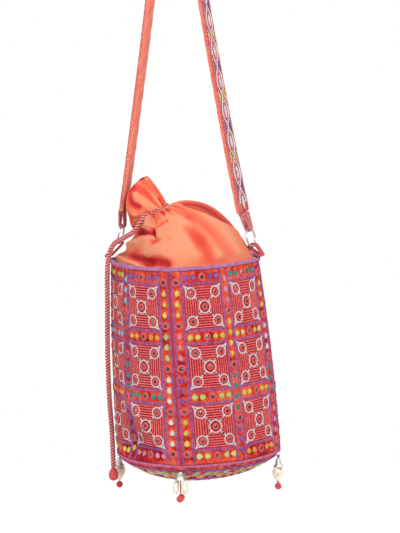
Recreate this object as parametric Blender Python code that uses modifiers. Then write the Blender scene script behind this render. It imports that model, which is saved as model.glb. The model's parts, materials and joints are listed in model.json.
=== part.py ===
# Drawstring shoulder bag with four embroidered sides, hanging from its strap.
# Metres, +Z up. The origin is the underside of the strap where it passes over a hook.
# +X runs from the left ring to the right ring, and the near corner of the bag points to -Y.

import math

import bmesh
import bpy
from mathutils import Matrix, Vector

# Gap that touching pieces keep to each other
CLEARANCE = 0.0003

# Chain from the strap's ends to the rim: drops of the strap end, the ring centre and the rim
STRAP_DROP = 0.510
UPPER_LINK = 0.0335
LOWER_LINK = 0.0345
RIM_DROP = STRAP_DROP + UPPER_LINK + LOWER_LINK

# Body of the bag: a square tube with its corners on the X and Y axes
BODY_HEIGHT = 0.255
RIM_CENTRE_X = 0.016
LEAN = 0.019
TILT_DEG = 2.0
RIM_HALF_DIAGONAL = 0.0985
BASE_HALF_DIAGONAL = 0.110
RIM_BULGE = 0.020
BASE_BULGE = 0.027
SIDE_THICKNESS = 0.0030
SEAM_CORD_RADIUS = 0.0026
RIM_CORD_RADIUS = 0.0026
RIM_CORD_OUT = 0.0026
EDGE_CORD_POINTS = 40
CORNER_EASE = 0.35
BASE_CORD_RADIUS = 0.0019
BASE_THICKNESS = 0.0018
BASE_DEPTH = 0.030
BASE_ROUNDNESS = 3.0

# Raised square patches on each side, with five round bosses on each patch
PATCH_SIZE = 0.056
PATCH_COLUMNS = 2
PATCH_ROWS = 3
PATCH_RAISE = 0.0010
PATCH_INSET = 0.0012
BOSS_RAISE = 0.0010
BOSS_INSET = 0.0022
MIDDLE_BAND = 0.017
ROW_BAND = 0.020
TOP_BAND = 0.022

# Gathered cloth top: a dome from the rim to the neck, and the ruff above the drawcord
CLOTH_THICKNESS = 0.0014
CLOTH_INSET = 0.0010
CLOTH_TUCK = 0.009
CLOTH_AROUND = 48
DOME_LEVELS = 7
RUFF_LEVELS = 4
PLEATS = 12
PLEAT_DEPTH = 0.0020
NECK_CENTRE = Vector((-0.038, -0.010, 0.066))
NECK_TILT_DEG = 25.0
NECK_RADIUS_X = 0.0175
NECK_RADIUS_Y = 0.0155
DOME_RISE = (0.017, 0.011)
DOME_REACH = (0.0435, 0.0315)
DOME_SAG = 0.008
DOME_LEAN_IN = 0.80
RUFF_SWELL = 0.003
# Lip of the ruff, from the right side through the back, the left and the front
RUFF_LIP = [
    (-0.051, -0.008, 0.112),
    (-0.061, 0.010, 0.110),
    (-0.070, 0.015, 0.099),
    (-0.073, 0.009, 0.072),
    (-0.067, -0.004, 0.043),
    (-0.070, -0.024, 0.054),
    (-0.072, -0.033, 0.083),
    (-0.065, -0.025, 0.104),
]

# Strap of two layers, in the X Z plane, from its left end over the hook to its right end
STRAP_WIDTH = 0.042
STRAP_FACE_THICKNESS = 0.0030
STRAP_LINING_THICKNESS = 0.0022
STRAP_BEND_RADIUS = 0.012
STRAP_END_IN_LEFT = 0.0135
STRAP_END_IN_RIGHT = 0.0175
# Bow of each leg from its end upwards: share of the end's distance out, share of the drop
STRAP_LEFT_BOW = [(1.0, 1.0), (0.804, 0.81), (0.464, 0.459), (0.268, 0.1765)]
STRAP_RIGHT_BOW = [(1.0, 1.0), (0.794, 0.81), (0.454, 0.459), (0.232, 0.1765)]
STRAP_TWIST_LEFT_DEG = -4.0
STRAP_TWIST_RIGHT_DEG = 6.0
STRAP_SEGMENTS = 56
STRAP_BOSS_PITCH_CELLS = 2
STRAP_BEND_SHARE = 0.030

# Metal rings between the strap and the bag
RING_RADIUS = 0.0128
RING_WIRE_RADIUS = 0.0012
RING_OUT_LEFT = 0.0025
RING_OUT_RIGHT = 0.0095
RING_LEAN_LEFT_DEG = 10.0
RING_LEAN_RIGHT_DEG = -13.0
RING_TURN_LEFT_DEG = 2.0
RING_TURN_RIGHT_DEG = 14.0

# Thread loops above and below each ring
LOOP_THREAD_RADIUS = 0.0014
LOOP_COUNT = 3
LOOP_SPREAD_RING = 0.0034
LOOP_SPREAD_STRAP = 0.0115
LOOP_SPREAD_BAG = 0.0062
LOOP_SLACK = 0.0009
LOOP_LEG_SHARE = 0.12
LOOP_FOOT_GAP = 0.0012
WHIP_THICKNESS = 0.0032
WHIP_WIDTH = 0.0076
WHIP_OUT = 0.0060
BAG_SWING_DEG = 30.0

# Drawcord, hanging free beside the left corner
DRAWCORD_RADIUS = 0.0034
DRAWCORD_SPACING = 0.0085
DRAWCORD_ROUTE = [
    (-0.0305, -0.0313, -0.5110),
    (-0.0360, -0.0393, -0.5220),
    (-0.0440, -0.0395, -0.5340),
    (-0.0590, -0.0340, -0.5440),
    (-0.0740, -0.0280, -0.5530),
    (-0.0818, -0.0258, -0.5690),
    (-0.0846, -0.0250, -0.5930),
    (-0.0849, -0.0245, -0.6400),
    (-0.0849, -0.0245, -0.7000),
    (-0.0831, -0.0245, -0.7590),
    (-0.0794, -0.0245, -0.8120),
    (-0.0775, -0.0245, -0.8600),
]
CORD_BALL_WIDTH = 0.0125
CORD_BALL_HEIGHT = 0.0180

# Tassels at the lower corners
KNOT_LARGE = (0.0050, 0.0112, 0.0080)
KNOT_SMALL = (0.0050, 0.0062, 0.0052)
KNOT_DROP = 0.0027
KNOT_LIFT = 0.0007
PIVOT_RISE = 0.0016
CAP_WALL = 0.0008
# Bell of a tassel: radius and depth of its outer points, from the crown to the brim
CAP_BELL = [(0.0016, 0.0), (0.0030, 0.0018), (0.0036, 0.0050), (0.0046, 0.0085), (0.0061, 0.0115)]
CAP_CROWN = 0.0024
STRAND_RADIUS = 0.0010
COWRIE_LENGTH = 0.0195
COWRIE_WIDTH = 0.0125
COWRIE_THICKNESS = 0.0085
BALL_RADIUS = 0.0046
WRAP_RADIUS = 0.0022
STRAND_FOOT = 0.0285
STRAND_FOOT_PAIRED = 0.0332
# Corner, whether its knot is beside the corner or below it, strand's foot, and its cowries
TASSELS = [
    ("front", True, STRAND_FOOT_PAIRED, [("a", 1, 0.0215, 24), ("b", -1, 0.0215, -18)]),
    ("right", False, STRAND_FOOT, [("a", 1, 0.0210, 20), ("b", -1, 0.0225, -10)]),
    ("back", True, STRAND_FOOT, [("a", 1, 0.0215, 14), ("b", -1, 0.0215, -14)]),
    ("left", False, STRAND_FOOT, [("a", 1, 0.0220, 16), ("b", -1, 0.0218, -12)]),
]

corner_directions = [Vector((0, -1, 0)), Vector((1, 0, 0)), Vector((0, 1, 0)), Vector((-1, 0, 0))]
corner_names = ["front", "right", "back", "left"]
side_names = ["front_right", "back_right", "back_left", "front_left"]
tilt = math.tan(math.radians(TILT_DEG))
up = Vector((0, 0, 1))


def clear_scene():
    for item in list(bpy.data.objects):
        bpy.data.objects.remove(item, do_unlink=True)


def collection(name):
    group = bpy.data.collections.new(name)
    bpy.context.scene.collection.children.link(group)
    return group


clear_scene()
parts = collection("potli_bag")


def material(name, colour, roughness=0.85, metallic=0.0):
    made = bpy.data.materials.new(name)
    made.use_nodes = True
    shader = made.node_tree.nodes["Principled BSDF"]
    shader.inputs["Base Color"].default_value = (*colour, 1.0)
    shader.inputs["Roughness"].default_value = roughness
    shader.inputs["Metallic"].default_value = metallic
    return made


def empty(name, place, parent=None):
    made = bpy.data.objects.new(name, None)
    made.empty_display_size = 0.02
    parts.objects.link(made)
    if parent:
        made.parent = parent
        made.location = place - parent.matrix_world.translation
    else:
        made.location = place
    bpy.context.view_layer.update()
    return made


def add_object(name, data, look, parent=None):
    data.materials.clear()
    data.materials.append(look)
    made = bpy.data.objects.new(name, data)
    parts.objects.link(made)
    if parent:
        made.parent = parent
        made.matrix_parent_inverse = parent.matrix_world.inverted()
    return made


def mesh_object(name, bm, look, parent=None, smooth_deg=40):
    bmesh.ops.recalc_face_normals(bm, faces=bm.faces)
    data = bpy.data.meshes.new(name)
    bm.to_mesh(data)
    bm.free()
    data.shade_smooth()
    data.set_sharp_from_angle(angle=math.radians(smooth_deg))
    return add_object(name, data, look, parent)


def tube(name, points, radius, look, parent=None, closed=False, resolution=2):
    curve = bpy.data.curves.new(name, "CURVE")
    curve.dimensions = "3D"
    curve.bevel_depth = radius
    curve.bevel_resolution = resolution
    curve.use_fill_caps = not closed
    spline = curve.splines.new("POLY")
    spline.points.add(len(points) - 1)
    for slot, point in zip(spline.points, points):
        slot.co = (*point, 1.0)
    spline.use_cyclic_u = closed
    return add_object(name, curve, look, parent)


def curve_to_mesh(curve_object):
    graph = bpy.context.evaluated_depsgraph_get()
    data = bpy.data.meshes.new_from_object(curve_object.evaluated_get(graph))
    bm = bmesh.new()
    bm.from_mesh(data)
    bmesh.ops.remove_doubles(bm, verts=bm.verts, dist=0.00001)
    bm.transform(curve_object.matrix_world)
    bpy.data.meshes.remove(data)
    bpy.data.objects.remove(curve_object, do_unlink=True)
    return bm


def catmull(points, t):
    # Point of a smooth curve through all points, t from 0 to 1
    span = t * (len(points) - 1)
    i = min(int(span), len(points) - 2)
    f = span - i
    before = points[i - 1] if i > 0 else points[0] * 2 - points[1]
    after = points[i + 2] if i + 2 < len(points) else points[-1] * 2 - points[-2]
    a, b = points[i], points[i + 1]
    return 0.5 * (
        2 * a + (b - before) * f
        + (2 * before - 5 * a + 4 * b - after) * f**2
        + (3 * a - before - 3 * b + after) * f**3
    )


def evenly(points, spacing):
    fine = [catmull(points, k / 400) for k in range(401)]
    lengths = [0.0]
    for a, b in zip(fine, fine[1:]):
        lengths.append(lengths[-1] + (b - a).length)
    count = max(2, round(lengths[-1] / spacing))
    found = []
    k = 0
    for step in range(count + 1):
        wanted = lengths[-1] * step / count
        while k < 399 and lengths[k + 1] < wanted:
            k += 1
        share = (wanted - lengths[k]) / max(lengths[k + 1] - lengths[k], 1e-9)
        found.append(fine[k].lerp(fine[k + 1], min(max(share, 0.0), 1.0)))
    return found


def bezier(a, b, c, d, t):
    s = 1 - t
    return a * s**3 + b * (3 * s * s * t) + c * (3 * s * t * t) + d * t**3


# Shape of the body


def bag_centre(t):
    return Vector((RIM_CENTRE_X + LEAN * t, 0, -RIM_DROP - BODY_HEIGHT * t))


def half_diagonal(t):
    ease = 1 - (1 - min(max(t, 0.0), 1.0)) ** 2
    return RIM_HALF_DIAGONAL + (BASE_HALF_DIAGONAL - RIM_HALF_DIAGONAL) * ease


def outline(w, t):
    # Plan position at w: whole numbers are corners, 0 the near one, counting to the right
    side = int(w) % 4
    u = w - int(w)
    a = corner_directions[side]
    b = corner_directions[(side + 1) % 4]
    bulge = (RIM_BULGE + (BASE_BULGE - RIM_BULGE) * t) * 4 * u * (1 - u)
    return (a.lerp(b, u)) * half_diagonal(t) + (a + b).normalized() * bulge


def body_middle(w, t):
    flat = outline(w, t)
    return bag_centre(t) + flat + up * (flat.x * tilt)


def body_normal(w, t):
    step = 0.002
    low = int(w + 1e-9)
    a, b = max(w - step, low), min(w + step, low + 1)
    along = body_middle(b - 1e-9, t) - body_middle(a, t)
    down = body_middle(w, min(t + step, 1.0)) - body_middle(w, max(t - step, 0.0))
    return down.cross(along).normalized()


def body_point(w, t, out):
    return body_middle(w, t) + body_normal(w, t) * out


def corner_out(k, t, out):
    return body_middle(k, t) + corner_directions[k % 4] * out


def relief_sheet(name, surface, thickness, u_lines, v_lines, patches, bosses, look, parent, sizes):
    # Slab that follows a surface, with raised patches and a raised boss on some of their cells
    nu, nv = len(u_lines) - 1, len(v_lines) - 1
    patch_inset, patch_raise, boss_inset, boss_raise = sizes
    bm = bmesh.new()
    bmesh.ops.create_grid(bm, x_segments=nu, y_segments=nv, size=0.5)
    spot = {}
    for vert in bm.verts:
        spot[vert] = (round((vert.co.x + 0.5) * nu), round((vert.co.y + 0.5) * nv))
    cells = {}
    for face in bm.faces:
        i = min(spot[v][0] for v in face.verts)
        j = min(spot[v][1] for v in face.verts)
        cells[i, j] = face
    grown = bmesh.ops.extrude_face_region(bm, geom=bm.faces[:], use_keep_orig=True)
    back = [g for g in grown["geom"] if isinstance(g, bmesh.types.BMVert)]
    places = {(round(v.co.x, 6), round(v.co.y, 6)): at for v, at in spot.items()}
    for vert in back:
        i, j = places[round(vert.co.x, 6), round(vert.co.y, 6)]
        vert.co = surface(u_lines[i], v_lines[j], 0.0)
    for vert, (i, j) in spot.items():
        vert.co = surface(u_lines[i], v_lines[j], thickness)
    bmesh.ops.recalc_face_normals(bm, faces=bm.faces)
    for i0, i1, j0, j1 in patches:
        faces = [cells[i, j] for i in range(i0, i1) for j in range(j0, j1)]
        bmesh.ops.inset_region(
            bm, faces=faces, thickness=patch_inset, depth=patch_raise, use_even_offset=True)
    for cell in bosses:
        bmesh.ops.inset_individual(
            bm, faces=[cells[cell]], thickness=boss_inset, depth=boss_raise)
    return mesh_object(name, bm, look, parent, smooth_deg=25)


def spread(start, size, count):
    return [start + size * k / count for k in range(count + 1)]


def build_sides(parent, look):
    # Lines of each side: edge, first patch in three cells, middle band, second patch, edge
    chord = (corner_directions[0] - corner_directions[1]).length * BASE_HALF_DIAGONAL
    arc = chord * (1 + 8 / 3 * (BASE_BULGE / chord) ** 2)
    edge = SEAM_CORD_RADIUS + CLEARANCE
    side_band = (arc - PATCH_COLUMNS * PATCH_SIZE - MIDDLE_BAND) / 2
    u_lines = [edge]
    v_lines = [0.0]
    columns, rows = [], []
    place = side_band
    for _ in range(PATCH_COLUMNS):
        columns.append(len(u_lines))
        u_lines += spread(place, PATCH_SIZE, 3)
        place += PATCH_SIZE + MIDDLE_BAND
    u_lines.append(arc - edge)
    place = TOP_BAND
    for _ in range(PATCH_ROWS):
        rows.append(len(v_lines))
        v_lines += spread(place, PATCH_SIZE, 3)
        place += PATCH_SIZE + ROW_BAND
    v_lines.append(BODY_HEIGHT)
    patches = [(i, i + 3, j, j + 3) for i in columns for j in rows]
    marks = [(0, 0), (2, 0), (1, 1), (0, 2), (2, 2)]
    bosses = [(i + a, j + b) for i in columns for j in rows for a, b in marks]
    sizes = (PATCH_INSET, PATCH_RAISE, BOSS_INSET, BOSS_RAISE)
    for side, name in enumerate(side_names):

        def surface(u, v, out, side=side):
            return body_point(side + u, v, out)

        relief_sheet(
            "side_" + name, surface, SIDE_THICKNESS,
            [line / arc for line in u_lines], [line / BODY_HEIGHT for line in v_lines],
            patches, bosses, look, parent, sizes)


def build_seam_cords(parent, look):
    for k, name in enumerate(corner_names):
        out = SIDE_THICKNESS - SEAM_CORD_RADIUS / 4
        points = [corner_out(k, 0.004 + 0.992 * i / 10, out) for i in range(11)]
        tube("corner_cord_" + name, points, SEAM_CORD_RADIUS, look, parent, resolution=1)


def around(t, out, drop, count):
    found = []
    for i in range(count):
        w = 4 * i / count
        found.append(body_point(w, t, out) - up * drop)
    return found


def smooth_ring(t, out, drop, count):
    # Closed line round the body, with its corners eased so that a cord can follow them
    raw = around(t, out, drop, count)
    eased = []
    for i, point in enumerate(raw):
        beside = (raw[i - 1] + raw[(i + 1) % count]) / 2
        eased.append(point.lerp(beside, CORNER_EASE if i % (count // 4) == 0 else 0.0))
    return eased


def build_edge_cords(parent, look):
    rim = smooth_ring(0.0, RIM_CORD_OUT, -(RIM_CORD_RADIUS + CLEARANCE * 2), EDGE_CORD_POINTS)
    tube("rim_braid", rim, RIM_CORD_RADIUS, look, parent, closed=True, resolution=1)
    base = smooth_ring(1.0, SIDE_THICKNESS / 2, BASE_CORD_RADIUS + CLEARANCE * 2, EDGE_CORD_POINTS)
    tube("base_braid", base, BASE_CORD_RADIUS, look, parent, closed=True, resolution=1)


def base_surface(w, r):
    # Soft rounded floor: r is 1 at the base braid and 0 at the middle
    below = 2 * BASE_CORD_RADIUS + CLEARANCE * 4
    edge = body_point(w, 1.0, 0.0) - up * below
    centre = bag_centre(1.0) - up * below
    return centre.lerp(edge, r) - up * (BASE_DEPTH * (1 - r**BASE_ROUNDNESS))


def build_base(parent, look):
    around_count = 28
    rings = [0.32, 0.60, 0.80, 0.92, 1.0]
    bm = bmesh.new()
    hub = bm.verts.new(base_surface(0, 0))
    previous = None
    for r in rings:
        ring = [bm.verts.new(base_surface(4 * i / around_count, r)) for i in range(around_count)]
        for i in range(around_count):
            j = (i + 1) % around_count
            if previous:
                bm.faces.new((previous[i], ring[i], ring[j], previous[j]))
            else:
                bm.faces.new((hub, ring[i], ring[j]))
        previous = ring
    bmesh.ops.recalc_face_normals(bm, faces=bm.faces)
    if bm.faces[0].normal.z > 0:
        bmesh.ops.reverse_faces(bm, faces=bm.faces)
    data = bpy.data.meshes.new("base_panel")
    bm.to_mesh(data)
    bm.free()
    data.shade_smooth()
    made = add_object("base_panel", data, look, parent)
    solid = made.modifiers.new("thickness", "SOLIDIFY")
    solid.thickness = BASE_THICKNESS
    solid.offset = 1
    return made


# Gathered cloth top


def neck_axes():
    angle = math.radians(NECK_TILT_DEG)
    return Vector((math.cos(angle), 0, math.sin(angle))), Vector((0, 1, 0))


def lip_point(w):
    # Closed smooth curve through the lip points, w as in outline
    points = [Vector(p) for p in RUFF_LIP]
    span = ((w - 1) % 4) * len(points) / 4
    i = int(span)
    f = span - i
    n = len(points)
    before, a, b, after = (points[(i + k) % n] for k in (-1, 0, 1, 2))
    return catmull([before, a, b, after], (1 + f) / 3)


def top_point(w, s):
    # s from -1 to 0 is tucked into the bag, 0 to 1 the dome, 1 to 2 the ruff
    rim_middle = bag_centre(0)
    if s < 0:
        drop = CLOTH_TUCK / BODY_HEIGHT * -s
        return body_point(w, drop, -CLOTH_INSET)
    angle = math.radians(90 * (w - 1))
    e1, e2 = neck_axes()
    outward = e1 * math.cos(angle) + e2 * math.sin(angle)
    neck = rim_middle + NECK_CENTRE
    neck += e1 * (NECK_RADIUS_X * math.cos(angle)) + e2 * (NECK_RADIUS_Y * math.sin(angle))
    pleat = math.cos(PLEATS * angle) * PLEAT_DEPTH
    if s <= 1:
        rim = body_point(w, 0, -CLOTH_INSET)
        lean_in = rim_middle.lerp(rim, DOME_LEAN_IN)
        rise = DOME_RISE[0] + DOME_RISE[1] * math.cos(angle)
        first = Vector((lean_in.x, lean_in.y, rim.z + rise))
        reach = DOME_REACH[0] + DOME_REACH[1] * math.cos(angle)
        second = neck + outward * reach - up * (DOME_SAG * (1 - math.cos(angle)) / 2)
        return bezier(rim, first, second, neck, s) + outward * (pleat * s**3)
    share = s - 1
    lip = rim_middle + lip_point(w)
    swell = outward * (RUFF_SWELL * math.sin(math.pi * share))
    return neck.lerp(lip, share) + swell + outward * (pleat * (1 + 0.4 * share))


def build_top(parent, look):
    levels = [-1.0, 0.0]
    levels += [(k + 1) / DOME_LEVELS for k in range(DOME_LEVELS)]
    levels += [1 + (k + 1) / RUFF_LEVELS for k in range(RUFF_LEVELS)]
    bm = bmesh.new()
    rows = len(levels) - 1
    bmesh.ops.create_grid(bm, x_segments=CLOTH_AROUND, y_segments=rows, size=0.5)
    for vert in bm.verts:
        i = round((vert.co.x + 0.5) * CLOTH_AROUND) % CLOTH_AROUND
        j = round((vert.co.y + 0.5) * rows)
        vert.co = top_point(4 * i / CLOTH_AROUND, levels[j])
    bmesh.ops.remove_doubles(bm, verts=bm.verts, dist=0.00001)
    bmesh.ops.recalc_face_normals(bm, faces=bm.faces)
    if sum(f.normal.z * f.calc_area() for f in bm.faces) < 0:
        bmesh.ops.reverse_faces(bm, faces=bm.faces)
    data = bpy.data.meshes.new("drawstring_top")
    bm.to_mesh(data)
    bm.free()
    data.shade_smooth()
    made = add_object("drawstring_top", data, look, parent)
    solid = made.modifiers.new("thickness", "SOLIDIFY")
    solid.thickness = CLOTH_THICKNESS
    solid.offset = -1
    return made


# Strap


def strap_end(side, out=1.0, drop=1.0):
    # End of the strap above a rim corner, or a share of the way to it; side is -1 left or 1 right
    inward = STRAP_END_IN_RIGHT if side > 0 else STRAP_END_IN_LEFT
    x = RIM_CENTRE_X + side * (RIM_HALF_DIAGONAL - inward)
    return Vector((x * out, 0, -STRAP_DROP * drop))


def strap_line():
    # Middle line of the strap in the X Z plane: a leg, the bend over the hook and a leg
    radius = STRAP_BEND_RADIUS + (STRAP_LINING_THICKNESS + STRAP_FACE_THICKNESS) / 2
    arc = []
    for k in range(181):
        angle = math.radians(180 - k)
        arc.append(Vector((math.cos(angle), 0, math.sin(angle))) * radius - up * STRAP_BEND_RADIUS)
    left = [strap_end(-1, out, drop) for out, drop in STRAP_LEFT_BOW] + [arc[0]]
    right = [arc[-1]] + [strap_end(1, out, drop) for out, drop in reversed(STRAP_RIGHT_BOW)]
    steps = [k / 400 for k in range(401)]
    return [catmull(left, t) for t in steps] + arc[1:-1] + [catmull(right, t) for t in steps]


def strap_frames():
    points = evenly_bent(strap_line(), STRAP_SEGMENTS)
    frames = []
    for i, point in enumerate(points):
        ahead = points[min(i + 1, len(points) - 1)] - points[max(i - 1, 0)]
        share = i / (len(points) - 1)
        left = max(0.0, 1 - 2 * share) * STRAP_TWIST_LEFT_DEG
        right = max(0.0, 2 * share - 1) * STRAP_TWIST_RIGHT_DEG
        turn = Matrix.Rotation(-math.radians(left + right), 3, up)
        tangent = ahead.normalized()
        across = turn @ Vector((0, 1, 0))
        outward = tangent.cross(across).normalized()
        if outward.dot(point - Vector((0.01, 0, -0.2))) < 0:
            outward.negate()
        frames.append((point, across, outward))
    return frames


def evenly_bent(fine, count):
    # Points along a fine line, closer together where it bends
    cost = [0.0]
    for k in range(len(fine) - 1):
        a, b = fine[k], fine[k + 1]
        c = fine[min(k + 2, len(fine) - 1)]
        bend = (b - a).angle(c - b, 0.0)
        cost.append(cost[-1] + (b - a).length + STRAP_BEND_SHARE * bend)
    found, k = [], 0
    for step in range(count + 1):
        wanted = cost[-1] * step / count
        while k < len(fine) - 2 and cost[k + 1] < wanted:
            k += 1
        share = (wanted - cost[k]) / max(cost[k + 1] - cost[k], 1e-9)
        found.append(fine[k].lerp(fine[k + 1], min(max(share, 0.0), 1.0)))
    return found


def build_strap(parent, face_look, lining_look):
    frames = strap_frames()
    half = (STRAP_FACE_THICKNESS + STRAP_LINING_THICKNESS) / 2
    middle = half - STRAP_FACE_THICKNESS
    across_lines = [-0.5, -0.27, 0.27, 0.5]
    steps = list(range(STRAP_SEGMENTS + 1))

    def place(base):
        def surface(u, v, out):
            point, across, outward = frames[round(v)]
            return point + across * (u * STRAP_WIDTH) + outward * (base + out)
        return surface

    cells = range(1, STRAP_SEGMENTS - 1, STRAP_BOSS_PITCH_CELLS)
    bosses = [(1, j) for j in cells]
    sizes = (0, 0, 0.0016, 0.0010)
    relief_sheet(
        "strap_face", place(middle + CLEARANCE / 2), STRAP_FACE_THICKNESS, across_lines, steps,
        [], bosses, face_look, parent, sizes)
    relief_sheet(
        "strap_lining", place(-half - CLEARANCE / 2), STRAP_LINING_THICKNESS, [-0.48, 0.48], steps,
        [], [], lining_look, parent, sizes)


# Rings and thread loops


def ring_frame(x, lean_deg, turn_deg):
    # Centre of the ring, its own axis, the level line across it and its upward line
    lean, turn = math.radians(lean_deg), math.radians(turn_deg)
    upward = Vector((math.sin(lean), 0, math.cos(lean)))
    flat = Vector((math.cos(lean), 0, -math.sin(lean)))
    level = Vector((0, 1, 0))
    normal = flat * math.cos(turn) - level * math.sin(turn)
    along = flat * math.sin(turn) + level * math.cos(turn)
    return Vector((x, 0, -STRAP_DROP - UPPER_LINK)), normal, along, upward


def build_ring(name, frame, look, parent):
    normal = frame[1]
    bpy.ops.mesh.primitive_torus_add(
        major_radius=RING_RADIUS, minor_radius=RING_WIRE_RADIUS,
        major_segments=24, minor_segments=6)
    made = bpy.context.object
    made.name = name
    made.data.name = name
    made.data.shade_smooth()
    made.data.materials.append(look)
    for group in list(made.users_collection):
        group.objects.unlink(made)
    parts.objects.link(made)
    made.parent = parent
    made.rotation_euler = Vector((0, 0, 1)).rotation_difference(normal).to_euler()
    return made


def loop_points(ring_spot, inside, far, spread_dir, half_gap, wire_gap):
    # One thread: from its far end, round the wire on the inside of the ring, and back
    crest = ring_spot + inside * wire_gap
    legs = far - ring_spot
    near_a = ring_spot + spread_dir * half_gap + legs * LOOP_LEG_SHARE
    near_b = ring_spot - spread_dir * half_gap + legs * LOOP_LEG_SHARE
    bend = []
    for k in range(1, 5):
        angle = math.pi * k / 5
        side = spread_dir * (half_gap * math.cos(angle))
        bend.append(ring_spot + side + (crest - ring_spot) * math.sin(angle))
    foot_a = far + spread_dir * (LOOP_THREAD_RADIUS + LOOP_FOOT_GAP)
    foot_b = far - spread_dir * (LOOP_THREAD_RADIUS + LOOP_FOOT_GAP)
    return [foot_a, near_a, *bend, near_b, foot_b]


def swing_room(normal):
    # How far the wire of a turned, leaning ring wanders sideways in a loop that swings round it
    first = (LOOP_COUNT - 1) / 2 * LOOP_SPREAD_RING / RING_RADIUS
    last = first + math.radians(BAG_SWING_DEG)
    by_turn = abs(normal.y) * (math.sin(last) - math.sin(first))
    by_lean = abs(normal.z) * (math.cos(first) - math.cos(last))
    return RING_RADIUS * (by_turn + by_lean)


def build_loops(name, frame, upper, anchor, axes, spread_far, look, parent):
    # Threads round the ring's wire, joined by a whipped bar at their sewn end
    centre, normal, along, upward = frame
    outward, across, _ = axes
    room = 0.0 if upper else swing_room(normal)
    wire_gap = RING_WIRE_RADIUS + LOOP_THREAD_RADIUS + LOOP_SLACK
    half_gap = wire_gap + room
    sign = 1 if upper else -1
    pieces = []
    for k in range(LOOP_COUNT):
        offset = k - (LOOP_COUNT - 1) / 2
        angle = offset * LOOP_SPREAD_RING / RING_RADIUS
        radial = along * math.sin(angle) + upward * (sign * math.cos(angle))
        spot = centre + radial * RING_RADIUS
        far = anchor + across * (offset * spread_far)
        points = loop_points(spot, -radial, far, normal, half_gap, wire_gap)
        thread = tube(name + "_thread", points, LOOP_THREAD_RADIUS, look, resolution=1)
        pieces.append(mesh_object(name + "_thread", curve_to_mesh(thread), look))
    bar = bmesh.new()
    bmesh.ops.create_cube(bar, size=1.0)
    length = (LOOP_COUNT - 1) * spread_far + 4 * LOOP_THREAD_RADIUS
    bmesh.ops.scale(bar, vec=(WHIP_WIDTH, length, WHIP_THICKNESS), verts=bar.verts)
    bmesh.ops.rotate(bar, cent=(0, 0, 0), matrix=Matrix(axes).transposed(), verts=bar.verts)
    bmesh.ops.translate(bar, vec=anchor, verts=bar.verts)
    made = mesh_object(name, bar, look, parent)
    for k, piece in enumerate(pieces):
        join = made.modifiers.new("thread_%d" % (k + 1), "BOOLEAN")
        join.operation = "UNION"
        join.solver = "EXACT"
        join.object = piece
    return made, pieces


def bake(made, pieces):
    # Keeps the joined shape and removes the pieces that went into it
    graph = bpy.context.evaluated_depsgraph_get()
    data = bpy.data.meshes.new_from_object(made.evaluated_get(graph))
    made.modifiers.clear()
    made.data = data
    for piece in pieces:
        bpy.data.objects.remove(piece, do_unlink=True)


# Drawcord and tassels


def ellipsoid(name, centre, size, look, parent, turn=None, segments=10, rings=6):
    bm = bmesh.new()
    bmesh.ops.create_uvsphere(bm, u_segments=segments, v_segments=rings, radius=0.5)
    bmesh.ops.scale(bm, vec=size, verts=bm.verts)
    if turn:
        bmesh.ops.rotate(bm, cent=(0, 0, 0), matrix=turn, verts=bm.verts)
    bmesh.ops.translate(bm, vec=centre, verts=bm.verts)
    return mesh_object(name, bm, look, parent, smooth_deg=60)


def build_drawcord(parent, look):
    route = [Vector(p) for p in DRAWCORD_ROUTE]
    points = evenly(route, DRAWCORD_SPACING)
    tube("drawcord", points, DRAWCORD_RADIUS, look, parent)
    centre = route[-1] - up * (CORD_BALL_HEIGHT / 2 + CLEARANCE)
    ellipsoid(
        "drawcord_ball", centre, (CORD_BALL_WIDTH, CORD_BALL_WIDTH, CORD_BALL_HEIGHT),
        look, parent, segments=12, rings=8)


def turned(name, profile, place, look, parent, segments=12):
    bm = bmesh.new()
    verts = [bm.verts.new((r, 0, z)) for r, z in profile]
    for a, b in zip(verts, verts[1:]):
        bm.edges.new((a, b))
    data = bpy.data.meshes.new(name)
    bm.to_mesh(data)
    bm.free()
    data.shade_smooth()
    made = add_object(name, data, look)
    made.location = place
    made.parent = parent
    screw = made.modifiers.new("turn", "SCREW")
    screw.steps = segments
    screw.render_steps = segments
    screw.use_merge_vertices = True
    screw.merge_threshold = 0.00001
    screw.use_normal_calculate = False
    return made


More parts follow.
